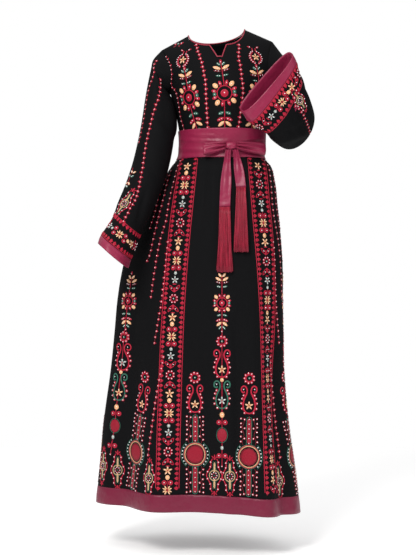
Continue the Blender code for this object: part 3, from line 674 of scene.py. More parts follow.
@dataclass
class Stitchery:
    """Everything that is embroidered on one cloth, kept as lists and made into meshes at the end."""

    chart: Chart
    up: Array = field(default_factory=lambda: np.array([0.0, 0.0, 1.0]))
    ovals: list = field(default_factory=list)
    ribbons: list = field(default_factory=list)
    beads: list = field(default_factory=list)

    def site(self, place: Array, up: Array | None = None, turn: float = 0.0, size: float = 1.0,
             wide: float = 1.0) -> "Site":
        """A spot to draw at, whose local metres may be turned, in degrees, enlarged and widened."""
        moves, axes = self.chart.axes(place, self.up if up is None else up)
        c, s = math.cos(math.radians(turn)) * size, math.sin(math.radians(turn)) * size
        spin = np.array([[wide * c, wide * s], [-s, c]])
        return Site(
            self, np.asarray(place, float), spin @ moves, self.chart.read(self.chart.points, place),
            spin @ axes
        )

    def at_pixel(
        self, x: float, y: float, turn: float = 0.0, size: float = 1.0, up: Array | None = None
    ) -> "Site":
        """A spot to draw at, by its pixel."""
        return self.site(self.chart.find((x, y)), up, turn, size)

    def ribbon(self, places: Array, width: float, thread: Thread, height: float = 0.0007) -> None:
        """A raised line of thread along places on the cloth."""
        self.ribbons.append((np.asarray(places, float), width, thread, height))

    def line(self, pixels: Sequence[Pixel], width: float, thread: Thread) -> Array:
        """A raised line through pixels, and the places along it."""
        places = self.trace(pixels, 0.004)
        self.ribbon(places, width, thread)
        return places

    def trace(self, pixels: Sequence[Pixel], spacing: float) -> Array:
        """Places evenly spaced along the cloth through a list of pixels."""
        places = np.array([self.chart.find(p) for p in pixels])
        if self.chart.closed:
            places[:, 1] = np.unwrap(places[:, 1], period=self.chart.points.shape[1])
        return self.spaced(places, spacing)

    def spaced(self, places: Array, spacing: float) -> Array:
        """Places evenly spaced in metres along a smooth line through a few places."""
        knots = np.arange(len(places))
        dense = through(knots, places, np.linspace(0, len(places) - 1, 24 * len(places)))
        line = self.chart.read(self.chart.points, dense)
        run = np.concatenate([[0.0], np.cumsum(np.linalg.norm(np.diff(line, axis=0), axis=-1))])
        marks = np.linspace(0, run[-1], max(2, round(run[-1] / spacing) + 1))
        return np.stack([np.interp(marks, run, dense[:, k]) for k in (0, 1)], axis=-1)

    def mesh(self, name: str, finishes: dict[Thread, bpy.types.Material], bead: bpy.types.Material) -> list:
        """Makes the stitching object and the beads object.

        Args:
            name: the cloth's name, which both objects' names end with.
            finishes: the material of each thread.
            bead: the material of the beads.

        Returns:
            The objects made.
        """
        return [self._stitches(name, finishes), self._beads(name, bead)]

    def _stitches(self, name: str, finishes: dict[Thread, bpy.types.Material]) -> bpy.types.Object:
        """One mesh of all the ovals and lines."""
        order = list(Thread)
        vertices, faces, grain = oval_arrays(self.chart, self.ovals)
        slots = [order.index(oval.thread) for oval in self.ovals for _ in range(2 * OVAL_SIDES)]
        vertices, grain = [vertices], [grain]
        count = len(vertices[0])
        for places, width, thread, height in self.ribbons:
            v, f, u = ribbon_arrays(self.chart, places, width, height)
            vertices.append(v)
            faces += [tuple(i + count for i in face) for face in f]
            grain.append(u)
            slots += [order.index(thread)] * len(f)
            count += len(v)
        made = mesh_object("stitching_" + name, np.concatenate(vertices), faces)
        for thread in order:
            made.data.materials.append(finishes[thread])
        made.data.polygons.foreach_set("material_index", slots)
        layer = made.data.uv_layers.new(name="grain")
        corners = np.zeros(len(made.data.loops), int)
        made.data.loops.foreach_get("vertex_index", corners)
        layer.data.foreach_set("uv", np.concatenate(grain)[corners].ravel())
        return made

    def _beads(self, name: str, finish: bpy.types.Material) -> bpy.types.Object:
        """One mesh of all the beads."""
        sites = [bead[0] for bead in self.beads]
        local = np.array([bead[1] for bead in self.beads])
        radii = np.array([bead[2] for bead in self.beads])
        places = settled(self.chart, sites, local[:, None, :])[:, 0]
        points = self.chart.read(self.chart.points, places)
        normals = unit(self.chart.read(self.chart.normals, places))
        side = unit(np.cross(normals, np.array([0.31, 0.17, 0.93])))
        rise = np.cross(normals, side)
        rings = []
        for reach, lift in BEAD_RINGS:
            for k in range(BEAD_SIDES):
                t = 2 * math.pi * k / BEAD_SIDES
                away = reach * (math.cos(t) * side + math.sin(t) * rise) + (lift + 0.45) * normals
                rings.append(points + radii[:, None] * away)
        rings.append(points + radii[:, None] * 1.55 * normals)
        stack = np.stack(rings, axis=1)
        per = stack.shape[1]
        template = []
        for k in range(BEAD_SIDES):
            n = (k + 1) % BEAD_SIDES
            for low in range(0, (len(BEAD_RINGS) - 1) * BEAD_SIDES, BEAD_SIDES):
                template.append((low + k, low + n, low + BEAD_SIDES + n, low + BEAD_SIDES + k))
            top = (len(BEAD_RINGS) - 1) * BEAD_SIDES
            template.append((top + k, top + n, per - 1))
        faces = [tuple(i + base * per for i in face) for base in range(len(sites)) for face in template]
        made = mesh_object("beads_" + name, stack.reshape(-1, 3), faces)
        made.data.materials.append(finish)
        return made


@dataclass
class Site:
    """A spot on the cloth with its own local metres, right and up, in which motifs are drawn."""

    work: Stitchery
    place: Array
    moves: Array
    origin: Array
    axes: Array

    def shifted(self, a: float, b: float) -> "Site":
        """The same local metres with their zero at a (right) and b (up)."""
        step = np.array([a, b])
        place = self.work.chart.settle(
            (self.place + step @ self.moves)[None], (self.origin + step @ self.axes)[None]
        )[0]
        return Site(self.work, place, self.moves, self.origin + step @ self.axes, self.axes)

    def oval(self, a: float, b: float, length: float, width: float, angle: float, thread: Thread,
             point: float = 0.0, height: float = 0.0009) -> None:
        """A filled oval: a leaf where point is over 0, and a bar where it is under 0."""
        t = math.radians(angle)
        along = (0.5 * length * math.cos(t), 0.5 * length * math.sin(t))
        across = (-0.5 * width * math.sin(t), 0.5 * width * math.cos(t))
        self.work.ovals.append(Oval(self, (a, b), along, across, height, thread, point))

    def disc(self, a: float, b: float, radius: float, thread: Thread, height: float = 0.0009) -> None:
        """A filled round."""
        self.oval(a, b, 2 * radius, 2 * radius, 0.0, thread, height=height)

    def stroke(self, path: Sequence[Pixel], width: float, thread: Thread, height: float = 0.0008) -> None:
        """A raised line through local points."""
        path = np.array(path, float)
        places = self.place + path @ self.moves
        places = self.work.chart.settle(places, self.origin + path @ self.axes)
        self.work.ribbon(places, width, thread, height)

    def curve(self, path: Sequence[Pixel], width: float, thread: Thread, height: float = 0.0008,
              step: float = 0.0022) -> None:
        """A raised line on a smooth curve through local points."""
        path = np.array(path, float)
        run = np.concatenate([[0.0], np.cumsum(np.linalg.norm(np.diff(path, axis=0), axis=-1))])
        self.stroke(
            through(run, path, np.linspace(0, run[-1], max(4, int(run[-1] / step)))), width, thread, height
        )

    def circle(self, a: float, b: float, radius: float, width: float, thread: Thread,
               start: float = 0.0, end: float = 360.0, height: float = 0.0008) -> None:
        """A raised ring, or a part of one between two angles in degrees."""
        steps = max(8, int(abs(end - start) / 360 * (12 + 900 * radius)))
        turns = np.radians(np.linspace(start, end, steps + 1))
        self.stroke(
            [(a + radius * math.cos(t), b + radius * math.sin(t)) for t in turns], width, thread, height
        )

    def bead(self, a: float, b: float, radius: float = 0.0016) -> None:
        """A small white bead."""
        self.work.beads.append((self, (a, b), radius))


def settled(chart: Chart, sites: Sequence[Site], local: Array) -> Array:
    """Places of local points, given as sites by points by two, on the cloth."""
    moves = np.array([site.moves for site in sites])
    axes = np.array([site.axes for site in sites])
    places = np.array([site.place for site in sites])[:, None] + local @ moves
    targets = np.array([site.origin for site in sites])[:, None] + local @ axes
    return chart.settle(places, targets)


def oval_arrays(chart: Chart, ovals: Sequence[Oval]) -> tuple[Array, list, Array]:
    """Vertices, faces and grain coordinates of many domed ovals on a chart."""
    middle = np.array([oval.middle for oval in ovals])[:, None]
    along = np.array([oval.along for oval in ovals])[:, None]
    across = np.array([oval.across for oval in ovals])[:, None]
    height = np.array([oval.height for oval in ovals])[:, None]
    point = np.array([oval.point for oval in ovals])[:, None, None]
    turn = 2 * math.pi * np.arange(OVAL_SIDES) / OVAL_SIDES
    reach = np.concatenate([np.repeat([ring[0] for ring in OVAL_RINGS], OVAL_SIDES), [0.0]])
    lift = np.concatenate([np.repeat([ring[1] for ring in OVAL_RINGS], OVAL_SIDES), [1.0]])
    cosine = np.append(np.tile(np.cos(turn), len(OVAL_RINGS)), 0.0)[None, :, None]
    sine = np.append(np.tile(np.sin(turn), len(OVAL_RINGS)), 0.0)[None, :, None]
    outline = np.sign(sine) * np.abs(sine) ** (1 + point)
    reach = reach[None, :, None]
    local = middle + reach * cosine * along + reach * outline * across
    places = settled(chart, [oval.site for oval in ovals], local)
    normals = unit(chart.read(chart.normals, places))
    vertices = chart.read(chart.points, places) + (lift[None] * height)[..., None] * normals
    length = np.linalg.norm(along, axis=-1, keepdims=True)
    width = np.linalg.norm(across, axis=-1, keepdims=True)
    grain = np.concatenate([reach * cosine * length, reach * outline * width], axis=-1)
    per = 2 * OVAL_SIDES + 1
    template = []
    for k in range(OVAL_SIDES):
        n = (k + 1) % OVAL_SIDES
        template.append((k, n, OVAL_SIDES + n, OVAL_SIDES + k))
        template.append((OVAL_SIDES + k, OVAL_SIDES + n, per - 1))
    faces = [tuple(i + base * per for i in face) for base in range(len(ovals)) for face in template]
    return vertices.reshape(-1, 3), faces, grain.reshape(-1, 2)


def ribbon_arrays(chart: Chart, places: Array, width: float, height: float) -> tuple[Array, list, Array]:
    """Vertices, faces and grain coordinates of a raised line along places on a chart."""
    points = chart.read(chart.points, places)
    normals = unit(chart.read(chart.normals, places))
    forward = unit(np.gradient(points, axis=0))
    side = unit(np.cross(normals, forward))
    run = np.concatenate([[0.0], np.cumsum(np.linalg.norm(np.diff(points, axis=0), axis=-1))])
    rows, grain = [], []
    for across, lift in ((-0.5, -0.3), (-0.28, 0.8), (0.0, 1.0), (0.28, 0.8), (0.5, -0.3)):
        rows.append(points + across * width * side + lift * height * normals)
        grain.append(np.stack([run, np.full(len(run), across * width)], axis=-1))
    vertices = np.stack(rows, axis=1)
    across_count = vertices.shape[1]
    faces = []
    for k in range(len(points) - 1):
        for c in range(across_count - 1):
            low = k * across_count + c
            faces.append((low, low + 1, low + across_count + 1, low + across_count))
    return vertices.reshape(-1, 3), faces, np.stack(grain, axis=1).reshape(-1, 2)


def mesh_object(name: str, vertices: Array, faces: list) -> bpy.types.Object:
    """An object made from arrays, with smooth faces that point out of the cloth."""
    mesh = bpy.data.meshes.new(name)
    mesh.from_pydata(np.asarray(vertices).tolist(), [], faces)
    mesh.update()
    mesh.shade_smooth()
    made = bpy.data.objects.new(name, mesh)
    bpy.context.scene.collection.objects.link(made)
    return made


# Motifs. Each draws at a site, in metres, with b upwards.


def spokes(count: int, start: float) -> list[tuple[float, float, float]]:
    """Angles in degrees, with their cosine and sine, evenly spaced round a middle."""
    return rays([start + 360.0 * k / count for k in range(count)])


def rays(angles: Iterable[float]) -> list[tuple[float, float, float]]:
    """Angles in degrees, with their cosine and sine."""
    return [(angle, math.cos(math.radians(angle)), math.sin(math.radians(angle))) for angle in angles]


def star(site: Site, thread: Thread, radius: float = 0.0126) -> None:
    """A star flower of five petals with a crimson eye and small beads."""
    for angle, c, s in spokes(5, 90.0):
        site.oval(0.56 * radius * c, 0.56 * radius * s, 0.98 * radius, 0.40 * radius, angle, thread, 0.35)
        site.bead(0.70 * radius * c, 0.70 * radius * s, 0.0011 if thread is Thread.PEACH else 0.0016)
    site.disc(0, 0, 0.15 * radius, Thread.CRIMSON, 0.0013)


def butterfly(site: Site, radius: float = 0.0140) -> None:
    """A flower of eight peach petals in two fans with a crimson bar between."""
    for angle, c, s in rays((22, 58, 122, 158, 202, 238, 302, 338)):
        site.oval(
            0.60 * radius * c, 0.60 * radius * s, 0.84 * radius, 0.30 * radius, angle, Thread.PEACH, 0.3
        )
        site.bead(0.72 * radius * c, 0.72 * radius * s, 0.0009)
    site.oval(0, 0, 0.8 * radius, 0.24 * radius, 90, Thread.CRIMSON, height=0.0013)


def pair(site: Site, radius: float = 0.0074, apart: float = 0.0088) -> None:
    """Two crimson rounds side by side, each with a coil and a bead, on a stem."""
    site.stroke([(0, 1.6 * radius), (0, -1.6 * radius)], 0.0018, Thread.CRIMSON)
    for side in (-1, 1):
        site.disc(side * apart, 0, radius, Thread.CRIMSON, 0.0009)
        site.circle(side * apart, 0, 0.52 * radius, 0.0011, Thread.MAROON, height=0.0012)
        site.bead(side * apart, 0.1 * radius, 0.0016)


def dot(site: Site, thread: Thread, width: float = 0.0125, height: float = 0.0145) -> None:
    """An upright oval with a bead."""
    site.oval(0, 0, height, width, 90, thread, height=0.0012)
    site.bead(0.0010, 0.0012, 0.0014)


def ring_flower(site: Site, radius: float = 0.0140, petals: int = 8) -> None:
    """A wreath of crimson petals with beads round a green eye."""
    for angle, c, s in spokes(petals, 180.0 / petals):
        site.oval(
            0.70 * radius * c, 0.70 * radius * s, 0.62 * radius, 0.50 * radius, angle, Thread.CRIMSON, 0.1
        )
        site.bead(0.78 * radius * c, 0.78 * radius * s, 0.0015)
    site.circle(0, 0, 0.46 * radius, 0.0014, Thread.MAROON)
    site.disc(0, 0, 0.20 * radius, Thread.GREEN, 0.0012)
    site.bead(0, 0, 0.0013)


# A tulip's right petal, in shares of the flower's size
TULIP_PETAL = (
    (0.05, -0.62), (0.55, -0.30), (0.98, 0.22), (1.06, 0.66), (0.70, 0.52), (0.34, 0.18), (0.10, -0.20)
)


def tulip(site: Site, flip: float = 1.0, size: float = 0.0140) -> None:
    """A tulip with two outlined side petals, upright or with flip -1 upside down."""
    for side in (-1, 1):
        site.curve([(side * a * size, flip * b * size) for a, b in TULIP_PETAL], 0.0025, Thread.CRIMSON)
        site.bead(side * 0.56 * size, flip * 0.10 * size, 0.0015)
    site.oval(0, -flip * 0.42 * size, 0.72 * size, 0.52 * size, 90, Thread.CRIMSON, 0.1)
    site.oval(0, flip * 0.02 * size, 0.50 * size, 0.34 * size, 90, Thread.CRIMSON, 0.1)
    site.oval(0, flip * 0.90 * size, 0.26 * size, 0.90 * size, 90, Thread.CRIMSON, height=0.0008)


def border_flower(site: Site, size: float = 0.0050) -> None:
    """One flower of a border row: a full round with a point to the right, and a knot to the next one."""
    site.oval(0, 0, 2.0 * size, 2.0 * size, 0, Thread.CRIMSON, 0.12, 0.0010)
    site.oval(0.86 * size, 0, 0.9 * size, 0.9 * size, 0, Thread.CRIMSON, 0.4, 0.0009)
    site.oval(-0.2 * size, 0, 0.5 * size, 0.6 * size, 0, Thread.MAROON, height=0.0014)
    site.disc(-0.1 * size, -1.25 * size, 0.30 * size, Thread.MAROON)


def leaves(site: Site, b: float, length: float, width: float, rise: float, thread: Thread, beads: int = 2,
           root: float = 0.0015) -> None:
    """A pair of leaves on both sides of a stem, rising at an angle in degrees."""
    c, s = math.cos(math.radians(rise)), math.sin(math.radians(rise))
    for side in (-1, 1):
        reach = root + 0.5 * length
        site.oval(
            side * reach * c, b + reach * s, length, width, 90 - side * (90 - rise), thread, 0.35, 0.0010
        )
        for k in range(beads):
            step = root + length * (k + 1) / (beads + 1)
            site.bead(side * step * c, b + step * s, 0.0014)


def bud(site: Site, b: float, size: float = 0.0095) -> None:
    """A pointed crimson bud with a bead."""
    site.oval(0, b, 1.5 * size, 0.85 * size, 90, Thread.CRIMSON, 0.35, 0.0012)
    site.bead(0, b - 0.15 * size, 0.0015)


def large_rosette(site: Site, size: float = 1.0) -> None:
    """The large flower: a crimson eye in dark rings, and crimson, peach and green petals round it."""
    site.disc(0, 0, 0.0118 * size, Thread.CRIMSON, 0.0012)
    site.circle(0, 0, 0.0070 * size, 0.0010, Thread.MAROON, height=0.0015)
    site.bead(0, 0.001 * size, 0.0018)
    site.circle(0, 0, 0.0208 * size, 0.0030, Thread.CRIMSON)
    for angle, c, s in rays((18, 72, 108, 162, 198, 252, 288, 342)):
        reach = 0.0302 * size
        site.oval(reach * c, reach * s, 0.0170 * size, 0.0100 * size, angle, Thread.CRIMSON, 0.3)
        site.bead(reach * c, reach * s, 0.0015)
    for angle, c, s in rays((46, 134, 226, 314)):
        reach = 0.0335 * size
        site.oval(reach * c, reach * s, 0.0190 * size, 0.0140 * size, angle, Thread.PEACH, 0.0, 0.0013)
        site.bead(reach * c, reach * s, 0.0014)
    for side in (-1, 1):
        site.oval(side * 0.0285 * size, 0, 0.0160 * size, 0.0110 * size, 90, Thread.GREEN, 0.1)
        site.bead(side * 0.0285 * size, 0, 0.0014)


# A scroll's outline on its right, from the foot of its drop up to its curled end
SCROLL_PATH = ((0.0, -0.0365), (0.0090, -0.0340), (0.0150, -0.0262), (0.0170, -0.0140), (0.0146, 0.0000),
               (0.0098, 0.0110), (0.0060, 0.0205), (0.0062, 0.0300), (0.0098, 0.0365), (0.0155, 0.0385),
               (0.0208, 0.0350), (0.0226, 0.0285), (0.0206, 0.0225), (0.0160, 0.0205), (0.0122, 0.0235))
SCROLL_BEADS = ((0.0148, 0.0130), (0.0190, 0.0040), (0.0218, -0.0090), (0.0200, -0.0235), (0.0122, -0.0350))


def scroll_drop(site: Site, thread: Thread, inner: Thread) -> None:
    """A drop outline with curled ends above it, beaded rounds outside and a star within."""
    for side in (-1, 1):
        site.curve([(side * a, b) for a, b in SCROLL_PATH], 0.0046, thread, 0.0010)
        site.bead(side * 0.0152, 0.0295, 0.0017)
        for a, b in SCROLL_BEADS:
            site.disc(side * a, b, 0.0042, Thread.CRIMSON, 0.0008)
            site.bead(side * 1.06 * a, b, 0.0016)
    star(site.shifted(0, -0.0150), inner, 0.0118)


def bead_chain(work: Stitchery, places: Array, size: float = 1.0, thread: Thread = Thread.CRIMSON) -> None:
    """A chain of small ovals with beads along places on the cloth."""
    for k, place in enumerate(places):
        ahead = places[min(k + 1, len(places) - 1)] - places[max(k - 1, 0)]
        reach = work.chart.read(work.chart.points, place + 0.3 * ahead) - work.chart.read(
            work.chart.points, place - 0.3 * ahead)
        spot = work.site(place, up=unit(-reach))
        way = 1 if k % 2 else -1
        spot.oval(0, 0, 0.0102 * size, 0.0090 * size, 90, thread, 0.1)
        spot.oval(way * 0.0040 * size, 0.0006 * size, 0.0066 * size, 0.0046 * size, 0, thread, 0.3)
        spot.bead(0, 0, 0.0016 * max(0.8, size))
        if k + 1 < len(places):
            middle = work.site(0.5 * (place + places[k + 1]), up=unit(-reach))
            middle.oval(0, 0, 0.0056 * size, 0.0034 * size, 90, Thread.MAROON, 0.2)


MEDALLION_RADIUS = 0.0268
MEDALLION_BAR = 0.078
# The beaded rounds beside a bar: height above the bar's foot, and distance from its middle
BAR_BEADS = (
    (0.010, 0.0240), (0.019, 0.0128), (0.024, 0.0238), (0.037, 0.0226), (0.047, 0.0128),
    (0.050, 0.0238), (0.060, 0.0236), (0.071, 0.0130), (0.073, 0.0236),
)
# The small medallion's half length, the right side of its lozenge and the rounds along that side
BAR_REACH = 0.039
LOZENGE = (
    (0.0060, 0.0460), (0.0100, 0.0380), (0.0104, 0.0250), (0.0150, 0.0160), (0.0222, 0.0),
    (0.0150, -0.0160), (0.0104, -0.0250), (0.0100, -0.0380), (0.0060, -0.0460),
)
LOZENGE_ROUNDS = (
    (0.0102, 0.0365), (0.0108, 0.0235), (0.0180, 0.0100), (0.0185, -0.0090), (0.0108, -0.0235),
    (0.0102, -0.0370),
)


def tall_medallion(site: Site) -> None:
    """The large round of the hem with its bars above and below, green arcs and beaded side sprays."""
    radius = MEDALLION_RADIUS
    site.disc(0, 0, radius, Thread.MAROON, 0.0010)
    site.disc(0, 0, 0.96 * radius, Thread.WINE, 0.0013)
    site.circle(0, 0, radius + 0.0020, 0.0030, Thread.GOLD)
    site.circle(0, 0, radius + 0.0045, 0.0026, Thread.CRIMSON)
    site.circle(0, 0, radius + 0.0066, 0.0018, Thread.GREEN)
    for middle in (0, 180):
        site.circle(0, 0, radius + 0.0138, 0.0020, Thread.GREEN, middle - 52, middle + 52)
        for k in range(7):
            t = math.radians(middle - 45 + 15 * k)
            site.bead((radius + 0.0102) * math.cos(t), (radius + 0.0102) * math.sin(t), 0.0018)
    for way in (1, -1):
        start, half = radius + 0.0040, 0.0074
        top = start + MEDALLION_BAR
        site.oval(
            0, way * (start + 0.5 * MEDALLION_BAR), MEDALLION_BAR, 2 * half - 0.001, 90, Thread.WINE, -0.8,
            0.0008
        )
        outline = [(-half, start), (-half, top - half), (-0.7 * half, top - 0.3 * half), (0, top),
                   (0.7 * half, top - 0.3 * half), (half, top - half), (half, start)]
        site.stroke([(a, way * b) for a, b in outline], 0.0022, Thread.GREEN)
        for k in range(6):
            b = way * (start + MEDALLION_BAR * (k + 0.5) / 6)
            site.bead(0, b, 0.0015)
            site.disc(0, b + 0.0062, 0.0016, Thread.CRIMSON, 0.0014)
        for side in (-1, 1):
            waves = []
            for k in range(15):
                rise = (MEDALLION_BAR - 0.004) * k / 14
                waves.append((side * (0.0172 + 0.0028 * math.sin(0.9 * k)), way * (start + 0.001 + rise)))
            site.curve(waves, 0.0018, Thread.MAROON)
            for b, a in BAR_BEADS:
                site.disc(side * a, way * (start + b), 0.0034, Thread.CRIMSON, 0.0008)
                site.bead(side * a, way * (start + b), 0.0017)


def small_medallion(site: Site) -> None:
    """A gold bar with a round middle in a beaded crimson lozenge, crowned above and below."""
    site.oval(0, 0, 2 * BAR_REACH, 0.0060, 90, Thread.GOLD, -0.8, 0.0009)
    for side in (-1, 1):
        for way in (-1, 1):
            site.stroke(
                [(side * 0.0040, way * BAR_REACH), (side * 0.0040, way * 0.014)], 0.0013, Thread.GREEN
            )
    site.disc(0, 0, 0.0130, Thread.BLACK, 0.0011)
    site.circle(0, 0, 0.0140, 0.0026, Thread.GOLD, height=0.0012)
    site.circle(0, 0, 0.0160, 0.0012, Thread.GREEN)
    for angle, c, s in spokes(7, 0.0):
        site.oval(0.0070 * c, 0.0070 * s, 0.0062, 0.0052, angle, Thread.CRIMSON, 0.1, 0.0016)
        site.bead(0.0080 * c, 0.0080 * s, 0.0015)
    site.disc(0, 0, 0.0022, Thread.GREEN, 0.0016)
    for side in (-1, 1):
        site.curve([(side * a, b) for a, b in LOZENGE], 0.0030, Thread.CRIMSON, 0.0007)
        for a, b in LOZENGE_ROUNDS:
            site.disc(side * (a + 0.0008), b, 0.0036, Thread.CRIMSON, 0.0009)
            site.bead(side * (a + 0.0008), b, 0.0016)
        for way in (-1, 1):
            site.oval(
                side * 0.0052, way * 0.0500, 0.0095, 0.0034, way * (90 - side * 48), Thread.CRIMSON, 0.3
            )
    for way in (-1, 1):
        site.oval(0, way * 0.0520, 0.0120, 0.0040, 90, Thread.CRIMSON, 0.3)
        site.disc(0, way * 0.0455, 0.0030, Thread.CRIMSON)


# The band's repeat, as steps from its peach star towards its tail, in metres
BAND_REPEAT = 0.2105
BAND_STEPS: tuple[tuple[float, Callable[[Site], None]], ...] = (
    (0.0, lambda s: star(s, Thread.PEACH)),
    (0.0188, lambda s: dot(s, Thread.PEACH)),
    (0.0333, pair),
    (0.0534, butterfly),
    (0.0736, pair),
    (0.0880, lambda s: dot(s, Thread.SILVER, 0.0095, 0.0100)),
    (0.1067, lambda s: star(s, Thread.SILVER, 0.0108)),
    (0.1313, lambda s: tulip(s, 1.0)),
    (0.1590, ring_flower),
    (0.1856, lambda s: tulip(s, -1.0)),
)
BAND_STARS = ((-1.228, 0.2105), (-1.243, 0.2144))
BAND_LEVELS = (-0.370, -0.760, -1.040, -1.290)
BAND_ARCS = (0.105, 0.137, 0.148, 0.155)
BAND_HALF = 0.0256
BORDER_STEP = 0.0134
BORDER_LINE = 0.0068
CUFF_BORDER_STEP = 0.0128
CUFF_SCALE = 0.92


@dataclass
class Finishes:
    """All materials of the dress."""

    threads: dict = field(default_factory=dict)

    def principled(self, name: str, colour: Sequence[float], roughness: float, **inputs: float) -> tuple:
        """A new material and its shader."""
        material = bpy.data.materials.new(name)
        material.use_nodes = True
        shader = material.node_tree.nodes["Principled BSDF"]
        shader.inputs["Base Color"].default_value = (*colour, 1.0)
        shader.inputs["Roughness"].default_value = roughness
        for key, value in inputs.items():
            shader.inputs[key.replace("_", " ")].default_value = value
        return material, shader

    def noise_bump(
        self, material: bpy.types.Material, shader: bpy.types.Node, layers: Sequence[tuple]
    ) -> None:
        """Adds noise bumps on Object coordinates, each given as scale, strength and distance in metres."""
        tree = material.node_tree
        coordinates = tree.nodes.new("ShaderNodeTexCoord")
        before = None
        for scale, strength, distance in layers:
            noise = tree.nodes.new("ShaderNodeTexNoise")
            noise.inputs["Scale"].default_value = scale
            noise.inputs["Detail"].default_value = 3.0
            tree.links.new(coordinates.outputs["Object"], noise.inputs["Vector"])
            bump = tree.nodes.new("ShaderNodeBump")
            bump.inputs["Strength"].default_value = strength
            bump.inputs["Distance"].default_value = distance
            tree.links.new(noise.outputs["Fac"], bump.inputs["Height"])
            if before:
                tree.links.new(before.outputs["Normal"], bump.inputs["Normal"])
            before = bump
        tree.links.new(before.outputs["Normal"], shader.inputs["Normal"])

    def crepe(self) -> bpy.types.Material:
        """Matte black crepe with a fine pebbled surface."""
        material, shader = self.principled("crepe_cloth", (0.0028, 0.0028, 0.0034), 0.80,
                                           Sheen_Weight=0.0, Specular_IOR_Level=0.10)
        self.noise_bump(material, shader, ((1400.0, 0.35, 0.0004), (9.0, 0.25, 0.010)))
        return material

    def satin(self, name: str, colour: Sequence[float]) -> bpy.types.Material:
        """Wine-coloured satin with a soft sheen."""
        material, shader = self.principled(name, colour, 0.41,
                                           Sheen_Weight=0.12, Sheen_Roughness=0.35, Specular_IOR_Level=0.34)
        shader.inputs["Sheen Tint"].default_value = (1.0, 0.55, 0.68, 1.0)
        self.noise_bump(material, shader, ((18.0, 0.7, 0.010), (60.0, 0.25, 0.0020), (2200.0, 0.12, 0.0002)))
        return material

    def thread(self, name: str, colour: Sequence[float], silky: bool = True) -> bpy.types.Material:
        """Embroidery thread, with stitches that follow the grain coordinates."""
        material, shader = self.principled("thread_" + name, colour, 0.5 if silky else 0.6,
                                           Sheen_Weight=0.04, Sheen_Roughness=0.3, Specular_IOR_Level=0.25)
        tree = material.node_tree
        grain = tree.nodes.new("ShaderNodeUVMap")
        grain.uv_map = "grain"
        wave = tree.nodes.new("ShaderNodeTexWave")
        wave.inputs["Scale"].default_value = 420.0
        wave.inputs["Distortion"].default_value = 1.5
        tree.links.new(grain.outputs["UV"], wave.inputs["Vector"])
        bump = tree.nodes.new("ShaderNodeBump")
        bump.inputs["Strength"].default_value = 0.5
        bump.inputs["Distance"].default_value = 0.0002
        tree.links.new(wave.outputs["Fac"], bump.inputs["Height"])
        tree.links.new(bump.outputs["Normal"], shader.inputs["Normal"])
        return material

    def bead(self) -> bpy.types.Material:
        """Pearly white bead."""
        material, _ = self.principled("white_bead", (0.86, 0.84, 0.86), 0.22, Coat_Weight=0.4,
                                      Specular_IOR_Level=0.6)
        return material

    def cord(self) -> bpy.types.Material:
        """Crimson binding cord."""
        material, shader = self.principled("binding_cord", (0.30, 0.008, 0.032), 0.5, Sheen_Weight=0.05)
        self.noise_bump(material, shader, ((900.0, 0.4, 0.0003),))
        return material

    def tassel(self) -> bpy.types.Material:
        """Silky crimson tassel thread, a little uneven in colour."""
        material, shader = self.principled("tassel_thread", (0.30, 0.010, 0.035), 0.42,
                                           Sheen_Weight=0.06, Specular_IOR_Level=0.35, Anisotropic=0.6)
        tree = material.node_tree
        coordinates = tree.nodes.new("ShaderNodeTexCoord")
        noise = tree.nodes.new("ShaderNodeTexNoise")
        noise.inputs["Scale"].default_value = 700.0
        ramp = tree.nodes.new("ShaderNodeMix")
        ramp.data_type = "RGBA"
        ramp.inputs["A"].default_value = (0.05, 0.001, 0.005, 1.0)
        ramp.inputs["B"].default_value = (0.62, 0.022, 0.070, 1.0)
        streaks = tree.nodes.new("ShaderNodeMapping")
        streaks.inputs["Scale"].default_value = (1.0, 1.0, 0.035)
        tree.links.new(coordinates.outputs["Object"], streaks.inputs["Vector"])
        tree.links.new(streaks.outputs["Vector"], noise.inputs["Vector"])
        tree.links.new(noise.outputs["Fac"], ramp.inputs["Factor"])
        tree.links.new(ramp.outputs["Result"], shader.inputs["Base Color"])
        return material

    def build(self) -> None:
        """Makes every material once."""
        self.black = self.crepe()
        self.wine = self.satin("satin_cloth", (0.250, 0.013, 0.052))
        # The hem band's satin is the belt's wine satin made darker: painted shade where the light falls off
        # towards the hem.
        self.shaded_wine = self.satin("satin_band_painted_shade", (0.160, 0.007, 0.032))
        self.white = self.bead()
        self.binding = self.cord()
        self.fringe = self.tassel()
        for thread in Thread:
            self.threads[thread] = self.thread(thread.name.lower(), thread.value)


